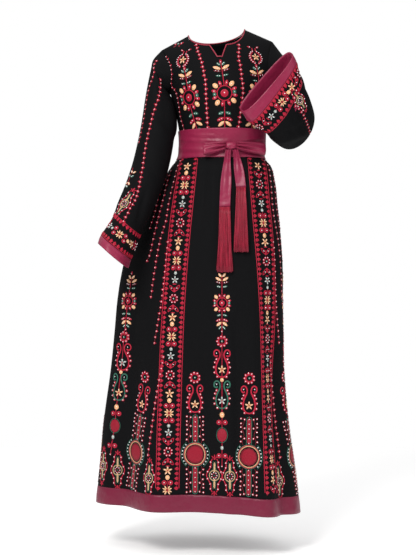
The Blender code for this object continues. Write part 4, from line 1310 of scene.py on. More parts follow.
@dataclass
class Shells:
    """The cloth pieces: thin shells on the solids' form, each standing for its own node."""

    form: DressForm
    finishes: Finishes
    charts: dict = field(default_factory=dict)

    def shell(self, name: str, node: str, chart: Chart, material: bpy.types.Material, thick: float,
              slot: str, flat: tuple[float, float], held: str = "draped") -> bpy.types.Object:
        """Makes one cloth piece from its chart.

        Args:
            name: the piece's name.
            node: the node that it stands for.
            chart: its outer surface.
            material: its material.
            thick: its thickness in metres.
            slot: the name of a material slot; not used.
            flat: width and length that it was cut to, in metres; not used.
            held: how the cloth is held; not used.

        Returns:
            The piece.
        """
        rows, columns = chart.points.shape[:2]
        across = columns if chart.closed else columns - 1
        bm = bmesh.new()
        bmesh.ops.create_grid(bm, x_segments=across, y_segments=rows - 1, size=0.5)
        bm.verts.ensure_lookup_table()
        ordered = sorted(bm.verts, key=lambda v: (round(v.co.y, 7), round(v.co.x, 7)))
        for index, vert in enumerate(ordered):
            r, c = divmod(index, across + 1)
            vert.co = chart.points[r, c % columns]
        if chart.closed:
            bmesh.ops.remove_doubles(bm, verts=bm.verts[:], dist=1e-6)
        mesh = bpy.data.meshes.new(name)
        bm.normal_update()
        middle_face = bm.faces[:][len(bm.faces) // 2]
        centre = middle_face.calc_center_median()
        near = np.unravel_index(
            np.argmin(np.linalg.norm(chart.points - np.array(centre), axis=-1)), (rows, columns)
        )
        if middle_face.normal.dot(Vector(chart.normals[near])) < 0:
            bmesh.ops.reverse_faces(bm, faces=bm.faces[:])
        bm.to_mesh(mesh)
        bm.free()
        mesh.shade_smooth()
        mesh.materials.append(material)
        made = bpy.data.objects.new(name, mesh)
        bpy.context.scene.collection.objects.link(made)
        wall = made.modifiers.new("cloth thickness", "SOLIDIFY")
        wall.thickness = thick
        wall.offset = -1.0
        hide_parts(node)
        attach(made, BODY)
        self.charts[name] = chart
        LOG.info(
            "%s: %d faces, %.3f by %.3f m on its middle lines", name, len(mesh.polygons), *measure(chart)
        )
        return made


def measure(chart: Chart) -> tuple[float, float]:
    """Mean length across and mean length along a chart, in metres."""
    points = chart.points
    if chart.closed:
        points = np.concatenate([points, points[:, :1]], axis=1)
    across = np.linalg.norm(np.diff(points, axis=1), axis=-1).sum(axis=1).mean()
    along = np.linalg.norm(np.diff(points, axis=0), axis=-1).sum(axis=0).mean()
    return float(across), float(along)


SLEEVE_CREASES_RIGHT = (
    Crease((166.0, 88), (174.5, 132), 4.2, 0.0115, 0.0),
    Crease((158, 118), (173, 131), 2.4, -0.0045),
    Crease((156, 128), (172, 139), 2.2, 0.0038),
    Crease((152, 140), (168, 152), 2.6, -0.0048),
    Crease((147, 158), (163, 166), 2.6, 0.0042),
    Crease((146, 166), (160, 181), 2.4, -0.0036),
    Crease((154, 78), (166, 100), 2.6, -0.0036),
    Crease((160, 68), (173, 92), 2.6, 0.0030),
    Crease((137, 178), (128, 214), 3.0, 0.0040),
    Crease((146, 190), (138, 224), 3.2, -0.0042),
    Crease((156, 120), (172, 134), 3.0, 0.0045, 1.0),
    Crease((152, 150), (168, 158), 3.0, -0.0045, 1.0),
    Crease((150, 96), (168, 112), 3.2, 0.0045, 1.0),
    Crease((140, 190), (130, 220), 3.2, -0.0040, 1.0),
)
SLEEVE_CREASES_LEFT = (
    Crease((281, 142), (303, 134), 3.0, 0.0055),
    Crease((288, 133), (302, 127), 2.6, -0.0040),
    Crease((288, 150), (309, 137), 2.4, -0.0045),
    Crease((296, 108), (309, 128), 3.0, -0.0050),
    Crease((286, 118), (304, 138), 3.2, 0.0045),
    Crease((262, 70), (282, 96), 3.0, -0.0045, 1.0),
    Crease((270, 62), (296, 92), 3.2, 0.0045, 1.0),
    Crease((282, 110), (305, 128), 3.0, -0.0050, 1.0),
)
BODICE_CREASES = (
    Crease((181, 118), (204, 129), 3.0, 0.0026),
    Crease((180, 108), (200, 122), 3.0, -0.0026),
    Crease((176, 84), (188, 96), 2.6, -0.0028),
    Crease((172, 64), (186, 78), 3.0, 0.0020),
    Crease((236, 128), (256, 118), 3.0, -0.0026),
    Crease((238, 121), (258, 110), 3.0, 0.0024),
    Crease((208, 116), (216, 131), 2.6, -0.0018),
)
BACK_CREASES = (
    Crease((180, 112), (206, 128), 3.2, 0.0035, 1.0),
    Crease((178, 96), (204, 110), 3.2, -0.0035, 1.0),
    Crease((228, 112), (254, 126), 3.2, -0.0035, 1.0),
    Crease((216, 84), (220, 128), 3.6, -0.0030, 1.0),
)
SKIRT_CREASES = (
    Crease((176, 160), (166, 206), 2.6, -0.0040),
    Crease((184, 160), (176, 214), 3.0, 0.0032),
    Crease((168, 163), (152, 214), 2.6, 0.0040),
    Crease((205, 162), (202, 220), 3.0, -0.0026),
    Crease((214, 162), (213, 236), 3.4, 0.0024),
    Crease((236, 164), (240, 232), 3.2, -0.0028),
    Crease((246, 161), (253, 210), 2.6, 0.0032),
    Crease((262, 161), (268, 214), 2.4, -0.0036),
    Crease((136, 300), (127, 372), 3.6, -0.0045),
    Crease((172, 240), (162, 330), 3.6, -0.0032),
    Crease((205, 330), (207, 480), 4.0, 0.0040),
    Crease((236, 320), (240, 490), 4.2, -0.0040),
    Crease((268, 300), (276, 430), 3.6, -0.0040),
    Crease((284, 330), (288, 470), 3.2, 0.0036),
)
SKIRT_BACK_CREASES = (
    Crease((180, 165), (172, 300), 4.0, 0.0050, 1.0),
    Crease((196, 165), (194, 340), 4.0, -0.0050, 1.0),
    Crease((214, 165), (216, 320), 4.0, 0.0045, 1.0),
    Crease((232, 165), (240, 330), 4.0, -0.0050, 1.0),
    Crease((248, 165), (262, 300), 4.0, 0.0050, 1.0),
)
BELT_CREASES = (
    Crease((180, 140), (226, 141.5), 1.7, 0.0030),
    Crease((178, 149), (212, 150), 1.7, 0.0030),
    Crease((182, 156), (216, 157), 1.6, 0.0028),
    Crease((240, 141), (264, 138), 1.7, 0.0028),
    Crease((244, 155), (266, 157), 1.6, 0.0026),
    Crease((243, 148), (262, 147), 1.5, 0.0022),
    Crease((190, 134.5), (214, 136.0), 1.3, 0.0018),
)
CUFF_CREASES = (
    Crease((264, 92), (284, 70), 1.8, 0.0020),
    Crease((250, 116), (266, 96), 1.8, -0.0018),
    Crease((104, 240), (126, 262), 1.4, -0.0012),
)


@dataclass
class Dress:
    """Builds the cloth shells."""

    form: DressForm
    finishes: Finishes

    def __post_init__(self) -> None:
        """Starts with no shells."""
        self.shells = Shells(self.form, self.finishes)

    def crepe(self, node: str, chart: Chart, flat: tuple[float, float]) -> None:
        """A black shell."""
        self.shells.shell(node + "_cloth", node, chart, self.finishes.black, CREPE_THICK, "black_crepe", flat)

    def satin(self, node: str, chart: Chart, flat: tuple[float, float], look: bpy.types.Material) -> None:
        """A satin shell."""
        self.shells.shell(node + "_cloth", node, chart, look, SATIN_THICK, "wine_satin", flat)

    def bodice(self) -> None:
        """Front and back of the bodice."""
        front = Chart(self.form.bodice(True), False)
        front.crease(BODICE_CREASES)
        back = Chart(self.form.bodice(False), False, -1.0)
        back.crease(BACK_CREASES)
        self.orient(front)
        self.orient(back)
        self.crepe("bodice_front", front, (0.35, 0.33))
        self.crepe("bodice_back", back, (0.34, 0.33))

    def orient(self, chart: Chart) -> None:
        """Turns a chart's normals so that they point away from the inside of the dress."""
        if not chart.closed:
            centre = np.array([BODY_MIDDLE_X, 0.0, chart.points.reshape(-1, 3).mean(axis=0)[2]])
            score = ((chart.points - centre) * chart.normals)[..., :2].sum()
        else:
            middles = chart.points.mean(axis=1, keepdims=True)
            score = ((chart.points - middles) * chart.normals).sum()
        if score < 0:
            chart.outward = -chart.outward
            chart.normals = -chart.normals

    def skirt(self) -> None:
        """Front and back of the skirt, and the satin hem band."""
        levels = -np.linspace(-WAIST_Z, -HEM_TOP_Z, SKIRT_ROWS + 1)
        front_angles = np.linspace(-90.0, 90.0, SKIRT_FRONT_COLUMNS + 1)
        back_angles = np.linspace(90.0, 270.0, SKIRT_BACK_COLUMNS + 1)
        middle = SKIRT_FRONT_COLUMNS // 2
        front = SkirtChart(self.form.skirt(front_angles, levels), False, levels=levels, middle=middle)
        self.orient(front)
        front.crease(SKIRT_CREASES)
        back = SkirtChart(
            self.form.skirt(back_angles, levels), False, levels=levels, middle=SKIRT_BACK_COLUMNS // 2
        )
        self.orient(back)
        back.crease(SKIRT_BACK_CREASES)
        self.crepe("skirt_front", front, (0.66, 0.98))
        self.crepe("skirt_back", back, (0.75, 0.98))
        hem_levels = -np.linspace(-HEM_TOP_Z, -HEM_Z, HEM_ROWS)
        all_angles = np.concatenate([front_angles, back_angles[1:-1]])
        hem = Chart(self.form.skirt(all_angles, hem_levels), True)
        self.orient(hem)
        puff = HEM_PUFF * np.sin(np.linspace(0, math.pi, HEM_ROWS))[:, None, None] + HEM_LIFT
        hem.points = hem.points + puff * hem.normals
        # The hem band wears the darker copy of the wine satin, whose colour holds painted shade.
        self.satin("hem_band", hem, (1.75, 0.048), self.finishes.shaded_wine)

    def sleeve(self, right: bool) -> None:
        """A sleeve with its satin band and facing."""
        side = "right" if right else "left"
        end, band = (HANGING_END, HANGING_BAND) if right else (RAISED_END, RAISED_BAND)
        creases = SLEEVE_CREASES_RIGHT if right else SLEEVE_CREASES_LEFT
        cloth = Chart(self.form.sleeve(right, 0.0, band), True)
        self.orient(cloth)
        cloth.crease(creases)
        flat = (0.39, 0.60) if right else (0.36, 0.50)
        self.crepe(f"sleeve_{side}", cloth, flat)
        cuff = Chart(self.form.sleeve(right, band, end), True)
        self.orient(cuff)
        cuff.crease(CUFF_CREASES)
        flat = (0.46, 0.024) if right else (0.46, 0.034)
        self.satin(f"cuff_band_{side}", cuff, flat, self.finishes.wine)
        inner = Chart(self.form.sleeve(right, end - FACING_DEPTH, end), True)
        self.orient(inner)
        inner.points = inner.points - FACING_INSET * inner.normals
        flat = (0.43, 0.11) if right else (0.42, 0.12)
        self.satin(f"cuff_facing_{side}", inner, flat, self.finishes.wine)

    def belt(self) -> None:
        """The wide satin belt."""
        levels = -np.linspace(-BELT_TOP_Z, -BELT_BOTTOM_Z, BELT_ROWS)
        angles = np.arange(BELT_COLUMNS) * 360.0 / BELT_COLUMNS
        out = BELT_CLEAR + BELT_THICK
        belt = Chart(self.form.body_point(angles[None, :], levels[:, None], out), True)
        self.orient(belt)
        belt.crease(BELT_CREASES)
        flat = (0.70, 0.082)
        wine = self.finishes.wine
        self.shells.shell("belt_cloth", "belt", belt, wine, BELT_CLOTH, "wine_satin", flat, "stretched")

    def build(self) -> None:
        """Makes every cloth piece but the bow."""
        self.bodice()
        self.skirt()
        self.sleeve(True)
        self.sleeve(False)
        self.belt()


@dataclass(frozen=True)
class Loop:
    """A loop of the bow: its side, its reach and the ribbon's half width at the knot and at its tip."""

    node: str
    side: float
    reach_x: float
    reach_y: float
    tip_drop: float
    root_half: float
    tip_half: float
    bulge: float


@dataclass(frozen=True)
class Tail:
    """A hanging end of the bow's ribbon."""

    node: str
    tassel: str
    top_x: float
    foot_x: float
    foot_z: float
    top_half: float
    foot_half: float


LOOPS = (
    Loop("bow_loop_left", 1.0, 0.083, 0.030, 0.008, 0.0085, 0.0165, 0.011),
    Loop("bow_loop_right", -1.0, 0.063, 0.000, 0.010, 0.0085, 0.0165, 0.010),
)
TAILS = (
    Tail("bow_tail_left", "tassel_left", 0.0490, 0.0655, -0.447, 0.0075, 0.0138),
    Tail("bow_tail_right", "tassel_right", 0.0310, 0.0205, -0.502, 0.0075, 0.0150),
)
KNOT_X = 0.0385
KNOT_Z = -0.331
KNOT_SIZE = (0.030, 0.018, 0.021)
KNOT_SETBACK = 0.0002
FRONT_FOLDS = 3.0
TAIL_TOP_Z = -0.3420
TAIL_CLEAR = 0.0030
SOLID_SATIN = 0.0013
TASSEL_LENGTH = 0.179
TASSEL_DEPTH = 0.009
TASSEL_SPLAY = 1.55
STRANDS = 170
STRAND_SIDES = 4
STRAND_STEPS = 9


@dataclass
class Bow:
    """The bow on the belt: knot, loops, ribbon ends and tassels."""

    form: DressForm
    finishes: Finishes
    shells: Shells

    def belt_y(self, x: float, z: float) -> float:
        """Depth of the belt's outer face."""
        return self.form.front_y(x, z) - BELT_CLEAR - BELT_THICK

    def knot_middle(self) -> Array:
        """The knot's centre."""
        back = min(self.belt_y(KNOT_X + dx, KNOT_Z) for dx in (-0.012, 0.0, 0.012)) + KNOT_SETBACK
        return np.array([KNOT_X, back - 0.5 * KNOT_SIZE[1], KNOT_Z])

    def knot(self) -> None:
        """The knot, a ribbon wrapped tight with a few tucks."""
        bm = bmesh.new()
        bmesh.ops.create_uvsphere(bm, u_segments=56, v_segments=36, radius=0.5)
        centre = self.knot_middle()
        for v in bm.verts:
            around = math.atan2(v.co.z, v.co.y)
            tuck = 1 + 0.045 * math.sin(7 * v.co.x * 2 + 2.5 * around)
            tuck = tuck + 0.05 * math.cos(3 * around + 9 * v.co.x)
            boxy = [float(boxed(np.array(2 * c), 0.8)) * 0.5 for c in v.co]
            waist = 1 - 0.16 * (1 - (2 * abs(v.co.x)) ** 2)
            away = (
                boxy[0] * KNOT_SIZE[0] * 1.02,
                boxy[1] * KNOT_SIZE[1] * tuck * 0.98,
                boxy[2] * KNOT_SIZE[2] * tuck * waist * 1.08,
            )
            v.co = Vector(centre) + Vector(away)
        mesh = bpy.data.meshes.new("bow_knot_cloth")
        bm.to_mesh(mesh)
        bm.free()
        mesh.shade_smooth()
        mesh.materials.append(self.finishes.wine)
        made = bpy.data.objects.new("bow_knot_cloth", mesh)
        bpy.context.scene.collection.objects.link(made)
        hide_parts("bow_knot")
        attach(made, BODY)

    def loop(self, loop: Loop) -> None:
        """One flattened loop, with gathers that spread from the knot."""
        knot = self.knot_middle()
        root = (knot[0] + loop.side * 0.5 * KNOT_SIZE[0], knot[1], knot[2])
        turn = 2 * math.pi * np.arange(120) / 120
        out = 0.5 - 0.5 * np.cos(turn)
        swell = boxed(np.sin(turn), 0.6) * (0.45 + 0.55 * out)
        rows = []
        for share in np.linspace(-1.0, 1.0, 21):
            gather = 0.0016 * (1 - out) ** 0.7 * np.sin(2.6 * math.pi * share + 0.8 * np.sign(swell))
            ripple = 0.0016 * np.sin(math.pi * (1.5 * out + 0.35 * share)) * np.sin(math.pi * share * 0.8)
            half = loop.root_half + (loop.tip_half - loop.root_half) * np.sqrt(out)
            y = root[1] + loop.reach_y * out**1.5 - loop.bulge * swell - 0.002 * (1 - share * share)
            front = np.where(swell > 0, FRONT_FOLDS, 1.0)
            y = y + front * (gather + ripple) * np.sign(-swell) * np.clip(abs(swell) * 3, 0, 1)
            x = root[0] + loop.side * loop.reach_x * out * (1 - 0.03 * share * share)
            z = root[2] - loop.tip_drop * out + share * half
            rows.append(np.stack([x, y, z], axis=-1))
        chart = Chart(np.array(rows), True)
        middle = chart.points.mean(axis=(0, 1))
        if ((chart.points - middle) * chart.normals).sum() < 0:
            chart.outward, chart.normals = -1.0, -chart.normals
        self.shells.shell(
            loop.node + "_cloth", loop.node, chart, self.finishes.wine, SATIN_THICK, "wine_satin",
                          (0.18 if loop.side > 0 else 0.14, 0.031), "folded")

    def tail_middle(self, tail: Tail, z: float) -> tuple[float, float]:
        """Where a tail or its tassel hangs at height z."""
        share = min(1.0, (TAIL_TOP_Z - z) / (TAIL_TOP_Z - tail.foot_z))
        x = tail.top_x + (tail.foot_x - tail.top_x) * share**0.7
        cloth = self.form.front_y(x, z)
        if z > BELT_BOTTOM_Z - 0.010:
            cloth = min(cloth, self.belt_y(x, BELT_BOTTOM_Z))
        return x, cloth - TAIL_CLEAR - SOLID_SATIN

    def tail(self, tail: Tail) -> None:
        """A ribbon end, pinched under the knot and flat at its foot, with a narrow hem."""
        levels = np.linspace(TAIL_TOP_Z, tail.foot_z, 61)
        across = np.linspace(-1.0, 1.0, 17)
        grid = np.zeros((len(levels), len(across), 3))
        for row, z in enumerate(levels):
            share = row / (len(levels) - 1)
            half = tail.top_half + (tail.foot_half - tail.top_half) * ease(share * 1.6)
            x, y = self.tail_middle(tail, z)
            crease = 0.0035 * (1 - ease(share)) * np.abs(np.cos(math.pi * across))
            wave = 0.0008 * (2 + math.cos(3 * math.pi * share))
            soft = 0.0010 * np.sin(2.2 * math.pi * share + 1.4 * across) * ease(share * 3)
            hem = 0.0007 * math.exp(-(((share - 0.955) / 0.022) ** 2))
            grid[row] = np.stack(
                [x + half * across, y - crease - wave - soft - hem, np.full(len(across), z)], axis=-1
            )
        chart = Chart(grid, False)
        if chart.normals[..., 1].mean() > 0:
            chart.outward, chart.normals = -1.0, -chart.normals
        self.shells.shell(
            tail.node + "_cloth", tail.node, chart, self.finishes.wine, SATIN_THICK, "wine_satin",
                          (2 * tail.foot_half, TAIL_TOP_Z - tail.foot_z + 0.002), "hung")

    def tassel(self, tail: Tail) -> None:
        """A tassel of fine strands hanging from a bound head."""
        rng = np.random.default_rng(int(1000 * tail.foot_half))
        x, y = self.tail_middle(tail, tail.foot_z)
        head = np.array([x, y - 0.5 * TASSEL_DEPTH + SOLID_SATIN, tail.foot_z - 0.0004])
        fall = TASSEL_LENGTH
        vertices, faces = [], []
        for _ in range(STRANDS):
            a = rng.uniform(-0.93, 0.93)
            b = rng.uniform(-0.85, 0.85)
            reach = rng.uniform(0.965, 1.01) if rng.random() > 0.08 else rng.uniform(0.80, 0.95)
            stray = rng.normal(0, 0.05)
            phase = rng.uniform(0, 2 * math.pi)
            radius = rng.uniform(0.00045, 0.00075)
            base = len(vertices)
            for step in range(STRAND_STEPS + 1):
                share = step / STRAND_STEPS
                spread = 1 + (TASSEL_SPLAY - 1) * share
                level = head[2] - fall * reach * share
                cloth = self.form.front_y(head[0], level) - TAIL_CLEAR - 0.5 * TASSEL_DEPTH * spread
                px = head[0] + tail.foot_half * (a * spread * 0.97 + stray * share * share)
                px = px + 0.0008 * math.sin(phase + 5 * share)
                py = min(head[1], cloth) + 0.5 * TASSEL_DEPTH * b * spread * 0.9
                py = py + 0.0005 * math.cos(phase + 4 * share)
                for side in range(STRAND_SIDES):
                    t = phase + 2 * math.pi * side / STRAND_SIDES
                    vertices.append((px + radius * math.cos(t), py + radius * math.sin(t), level))
            for step in range(STRAND_STEPS):
                for side in range(STRAND_SIDES):
                    n = (side + 1) % STRAND_SIDES
                    low, high = base + step * STRAND_SIDES, base + (step + 1) * STRAND_SIDES
                    faces.append((low + side, high + side, high + n, low + n))
            faces.append(tuple(base + side for side in range(STRAND_SIDES)))
            end = base + STRAND_STEPS * STRAND_SIDES
            faces.append(tuple(end + side for side in reversed(range(STRAND_SIDES))))
        made = mesh_object(tail.tassel + "_strands", np.array(vertices), faces)
        made.data.materials.append(self.finishes.fringe)
        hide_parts(tail.tassel)
        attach(made, BODY)
        LOG.info("%s: %d strands", made.name, STRANDS)

    def build(self) -> None:
        """Makes the whole bow."""
        self.knot()
        for loop in LOOPS:
            self.loop(loop)
        for tail in TAILS:
            self.tail(tail)
            self.tassel(tail)


# Chains of the front, as pixels from top to bottom
SKIRT_CHAINS = (
    (((175, 162), (168, 173), (164, 183), (156, 208), (150, 228)), 0.85),
    (((171, 171), (167, 183), (163, 200), (157, 223), (150.5, 252), (147, 260.7)), 0.85),
    (((180.5, 161), (172, 189), (166.8, 216), (160, 240.5), (154.7, 270), (151, 297)), 0.85),
    (((168, 242), (165, 270), (161.6, 300), (158, 322), (154.4, 343)), 0.85),
    (((163.3, 357), (156.4, 396), (151.3, 431), (148, 455)), 0.95),
)
PRINCESS_LEFT = (
    (196.3, 45), (199, 54.4), (202, 63.7), (204.2, 75), (205.5, 82.7), (206.4, 103), (207.6, 127.4)
)
PRINCESS_RIGHT = (
    (239.0, 45), (238.6, 57), (240, 63.7), (241.7, 77.5), (243, 93), (239.7, 119), (237.8, 131.6)
)
ARMHOLE_CHAIN = ((164.5, 58), (167, 70), (171, 80), (175.5, 91.3), (178.5, 104), (180.5, 117), (184, 130))
SLEEVE_CHAIN_OUTER = (
    (156.5, 61), (154, 71), (151, 82), (148, 92), (145.5, 107), (144, 117), (141, 133), (139, 142)
)
SLEEVE_CHAIN_INNER = (
    (160.5, 80), (160.5, 87), (158.5, 98), (155, 107.5), (152, 118), (149.5, 128.5), (147, 139),
                      (145, 150), (143.5, 161), (142, 171), (136.3, 197.3), (131, 206.7), (123.5, 221.4))
RAISED_CHAIN = ((295.5, 106), (300.5, 110.5), (304.5, 117), (307.5, 124.5), (310, 133))

# The side columns of the skirt: pixels that the left one passes, and heights of its flowers in pixels
SIDE_COLUMN = ((131.6, 278), (128, 301), (126, 318.6), (124, 337), (121.8, 363), (118.2, 393), (116.4, 407),
               (114.6, 425.7), (112.9, 437), (110.5, 454))
SIDE_LEVELS = (278, 301, 318.6, 337, 357.3, 372, 387.3, 407, 413.5, 425.7, 437, 445.4, 454)
# The middle column of the skirt: heights of its flowers below its top, in metres
MIDDLE_TOP_Z = -0.693
MIDDLE_DROPS = (
    0.0, 0.0745, 0.1214, 0.1794, 0.2415, 0.2854, 0.3268, 0.3809, 0.4016, 0.4361, 0.4709, 0.4927, 0.5203
)
COLUMN_ROSETTE = 0.70
# The hem's tall medallions: the middle pair's place round the front and its levels of disc, scroll and
# small rosette, and the same places of the side pair in pixels, with its lean in degrees
MEDALLION_ARC = 0.077
MEDALLION_LEVELS = (-1.184, -1.032, -0.973)
SIDE_MEDALLION = ((136.0, 452.0), (142.6, 399.0), (144.9, 377.0))
SIDE_LEAN = 9.0
SIDE_WIDE = 1.22
SMALL_MEDALLION_PIXELS = ((148.7, 478), (117.6, 470))
FAR_MEDALLION_ARC = 0.420


@dataclass
class Embroidery:
    """Draws the embroidery on each cloth and makes its meshes."""

    finishes: Finishes
    charts: dict

    def finish(self, work: Stitchery, cloth: str) -> None:
        """Makes the meshes of one cloth's stitching and hangs them on the dress."""
        for made in work.mesh(cloth, self.finishes.threads, self.finishes.white):
            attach(made, BODY)
            LOG.info("%s: %d faces", made.name, len(made.data.polygons))

    def flower_column(self, work: Stitchery, top: Pixel, rosette: Pixel, foot: Pixel) -> None:
        """A bodice column: bud, leaves, the large flower, and leaves down to the belt."""
        stem = np.array(rosette) - np.array(top)
        lean = math.degrees(math.atan2(stem[0], stem[1]))
        work.line(
            [(top[0], top[1] - 1), (rosette[0] - 0.08 * stem[0], rosette[1] - 7.5)], 0.0026, Thread.CRIMSON
        )
        head = work.at_pixel(*top, turn=lean)
        bud(head, 0.0)
        leaves(head, -0.013, 0.0150, 0.0080, 42, Thread.GREEN)
        leaves(head, -0.024, 0.0250, 0.0100, 26, Thread.PEACH)
        leaves(head, -0.030, 0.0230, 0.0066, 14, Thread.MAROON)
        leaves(head, -0.044, 0.0175, 0.0066, 10, Thread.GREEN)
        large_rosette(work.at_pixel(*rosette, turn=lean))
        run = np.array(foot) - np.array(rosette)
        lean = math.degrees(math.atan2(run[0], run[1]))
        work.line([(rosette[0] + 0.15 * run[0], rosette[1] + 8), foot], 0.0026, Thread.CRIMSON)
        below = work.at_pixel(rosette[0] + 0.55 * run[0], rosette[1] + 0.55 * run[1], turn=lean)
        leaves(below, 0.006, 0.0185, 0.0095, -20, Thread.GREEN)
        leaves(below, -0.009, 0.0235, 0.0100, -24, Thread.CRIMSON)
        leaves(below, -0.019, 0.0235, 0.0100, -40, Thread.PEACH)
        leaves(below, -0.036, 0.0160, 0.0085, -48, Thread.GREEN)
        bud(below, -0.052, 0.0070)

    def bodice(self) -> None:
        """Flower columns and chains on the bodice front."""
        work = Stitchery(self.charts["bodice_front_cloth"])
        self.flower_column(work, (220.5, 61.5), (224.5, 93), (224.8, 131))
        for top, rosette, foot, crown in (
            ((184.4, 68.5), (188.8, 97.6), (197, 130), (182.6, 60.0)),
            ((256.3, 66), (259, 95), (250.5, 133), (255.8, 57.0)),
        ):
            self.flower_column(work, top, rosette, foot)
            site = work.at_pixel(*crown)
            star(site, Thread.PEACH, 0.0120)
            for side in (-1, 1):
                path = [
                    (side * 0.0155 * math.cos(math.radians(t)), 0.0172 * math.sin(math.radians(t)) - 0.001)
                        for t in range(-72, 61, 12)]
                path += [(side * 0.0045, 0.0225), (side * 0.0050, 0.0300)]
                site.stroke(path, 0.0034, Thread.CRIMSON)
                for t in range(-70, 75, 20):
                    a = side * 0.0192 * math.cos(math.radians(t))
                    b = 0.0205 * math.sin(math.radians(t)) - 0.001
                    site.disc(a, b, 0.0030, Thread.CRIMSON)
                    site.bead(a, b)
                site.oval(side * 0.0130, 0.0345, 0.0120, 0.0060, 90 - side * 60, Thread.CRIMSON, 0.3)
                site.bead(side * 0.0120, 0.0335)
        site = work.at_pixel(178.4, 44.0)
        for side in (-1, 1):
            site.oval(side * 0.0120, 0.001, 0.0150, 0.0072, 90 - side * 55, Thread.CRIMSON, 0.3)
            site.oval(side * 0.0080, -0.0095, 0.0120, 0.0060, 90 + side * 50, Thread.MAROON, 0.3)
            site.bead(side * 0.0115, 0.001)
        site.disc(0, 0, 0.0042, Thread.GREEN)
        site.bead(0, 0)
        for chain in (PRINCESS_LEFT, PRINCESS_RIGHT):
            bead_chain(work, work.trace(chain, 0.0132), 0.96)
        bead_chain(work, work.trace(ARMHOLE_CHAIN, 0.0130), 0.78)
        self.finish(work, "bodice")

    def band(self, work: Stitchery, side: float) -> None:
        """One full-length band: the repeat of flowers between two border rows.

        Args:
            work: the skirt's stitching.
            side: -1 for the band on the left of the picture, 1 for the other, which is turned upside down.
        """
        chart = work.chart

        def arc(z: float) -> float:
            return side * float(through([-v for v in BAND_LEVELS], BAND_ARCS, -z))

        star_z, repeat = BAND_STARS[side > 0]
        for k in range(-6, 7):
            for step, draw in BAND_STEPS:
                z = star_z + side * (step * repeat / BAND_REPEAT + k * repeat)
                if HEM_TOP_Z + 0.008 < z < BELT_BOTTOM_Z - 0.012:
                    draw(work.site(chart.at(arc(z), z), turn=180.0 if side > 0 else 0.0))
        count = int((BELT_BOTTOM_Z - HEM_TOP_Z) / BORDER_STEP)
        for edge in (-1, 1):
            run = []
            for k in range(count):
                z = BELT_BOTTOM_Z - 0.004 - BORDER_STEP * k
                place = chart.at(arc(z) + edge * BAND_HALF, z)
                border_flower(work.site(place, turn=0 if edge < 0 else 180))
                run.append(chart.at(arc(z) + edge * (BAND_HALF + BORDER_LINE), z))
            work.ribbon(np.array(run), 0.0024, Thread.CRIMSON, 0.0007)

    def drop_column(self, work: Stitchery, places: Sequence[Array], colours: tuple[Thread, Thread],
                    wide: float = 1.0) -> None:
        """A skirt column: spray, rosette, spray, small rosette, two scrolls, an oval, rounds and a tail.

        Args:
            work: the skirt's stitching.
            places: where its thirteen flowers are, from top to bottom.
            colours: the stars in the upper and in the lower scroll.
            wide: how much wider than usual its flowers are.
        """
        work.ribbon(work.spaced(np.array(places), 0.006), 0.0022, Thread.CRIMSON)
        sites = [work.site(place, wide=wide) for place in places]
        head, rosette, below, wreath, scroll, oval, lower_scroll = sites[:7]
        drop, rounds, big, silver, last, tail = sites[7:]
        bud(head, 0.014, 0.0070)
        leaves(head, -0.004, 0.0145, 0.0075, 50, Thread.PEACH)
        leaves(head, -0.014, 0.0195, 0.0084, 30, Thread.PEACH)
        leaves(head, -0.020, 0.0175, 0.0056, 14, Thread.MAROON)
        leaves(head, -0.031, 0.0145, 0.0060, 12, Thread.GREEN)
        large_rosette(rosette, COLUMN_ROSETTE)
        leaves(below, 0.016, 0.0140, 0.0066, -16, Thread.GREEN)
        leaves(below, 0.004, 0.0175, 0.0072, -22, Thread.CRIMSON)
        leaves(below, -0.004, 0.0180, 0.0084, -38, Thread.PEACH)
        leaves(below, -0.015, 0.0130, 0.0066, -46, Thread.GREEN)
        bud(below, -0.030, 0.0060)
        ring_flower(wreath, 0.0172, 9)
        scroll_drop(scroll, Thread.CRIMSON, colours[0])
        dot(oval, Thread.PEACH, 0.0110, 0.0120)
        scroll_drop(lower_scroll, Thread.GREEN, colours[1])
        dot(drop, Thread.PEACH, 0.0140, 0.0165)
        pair(rounds)
        big.oval(0, 0, 0.0400, 0.0300, 90, Thread.WINE, height=0.0013)
        outline = [(0.0156 * math.cos(t), 0.0206 * math.sin(t)) for t in np.linspace(0, 2 * math.pi, 25)]
        big.stroke(outline, 0.0017, Thread.GREEN)
        dot(silver, Thread.SILVER, 0.0090, 0.0120)
        pair(last)
        bud(tail, 0.0, 0.0055)

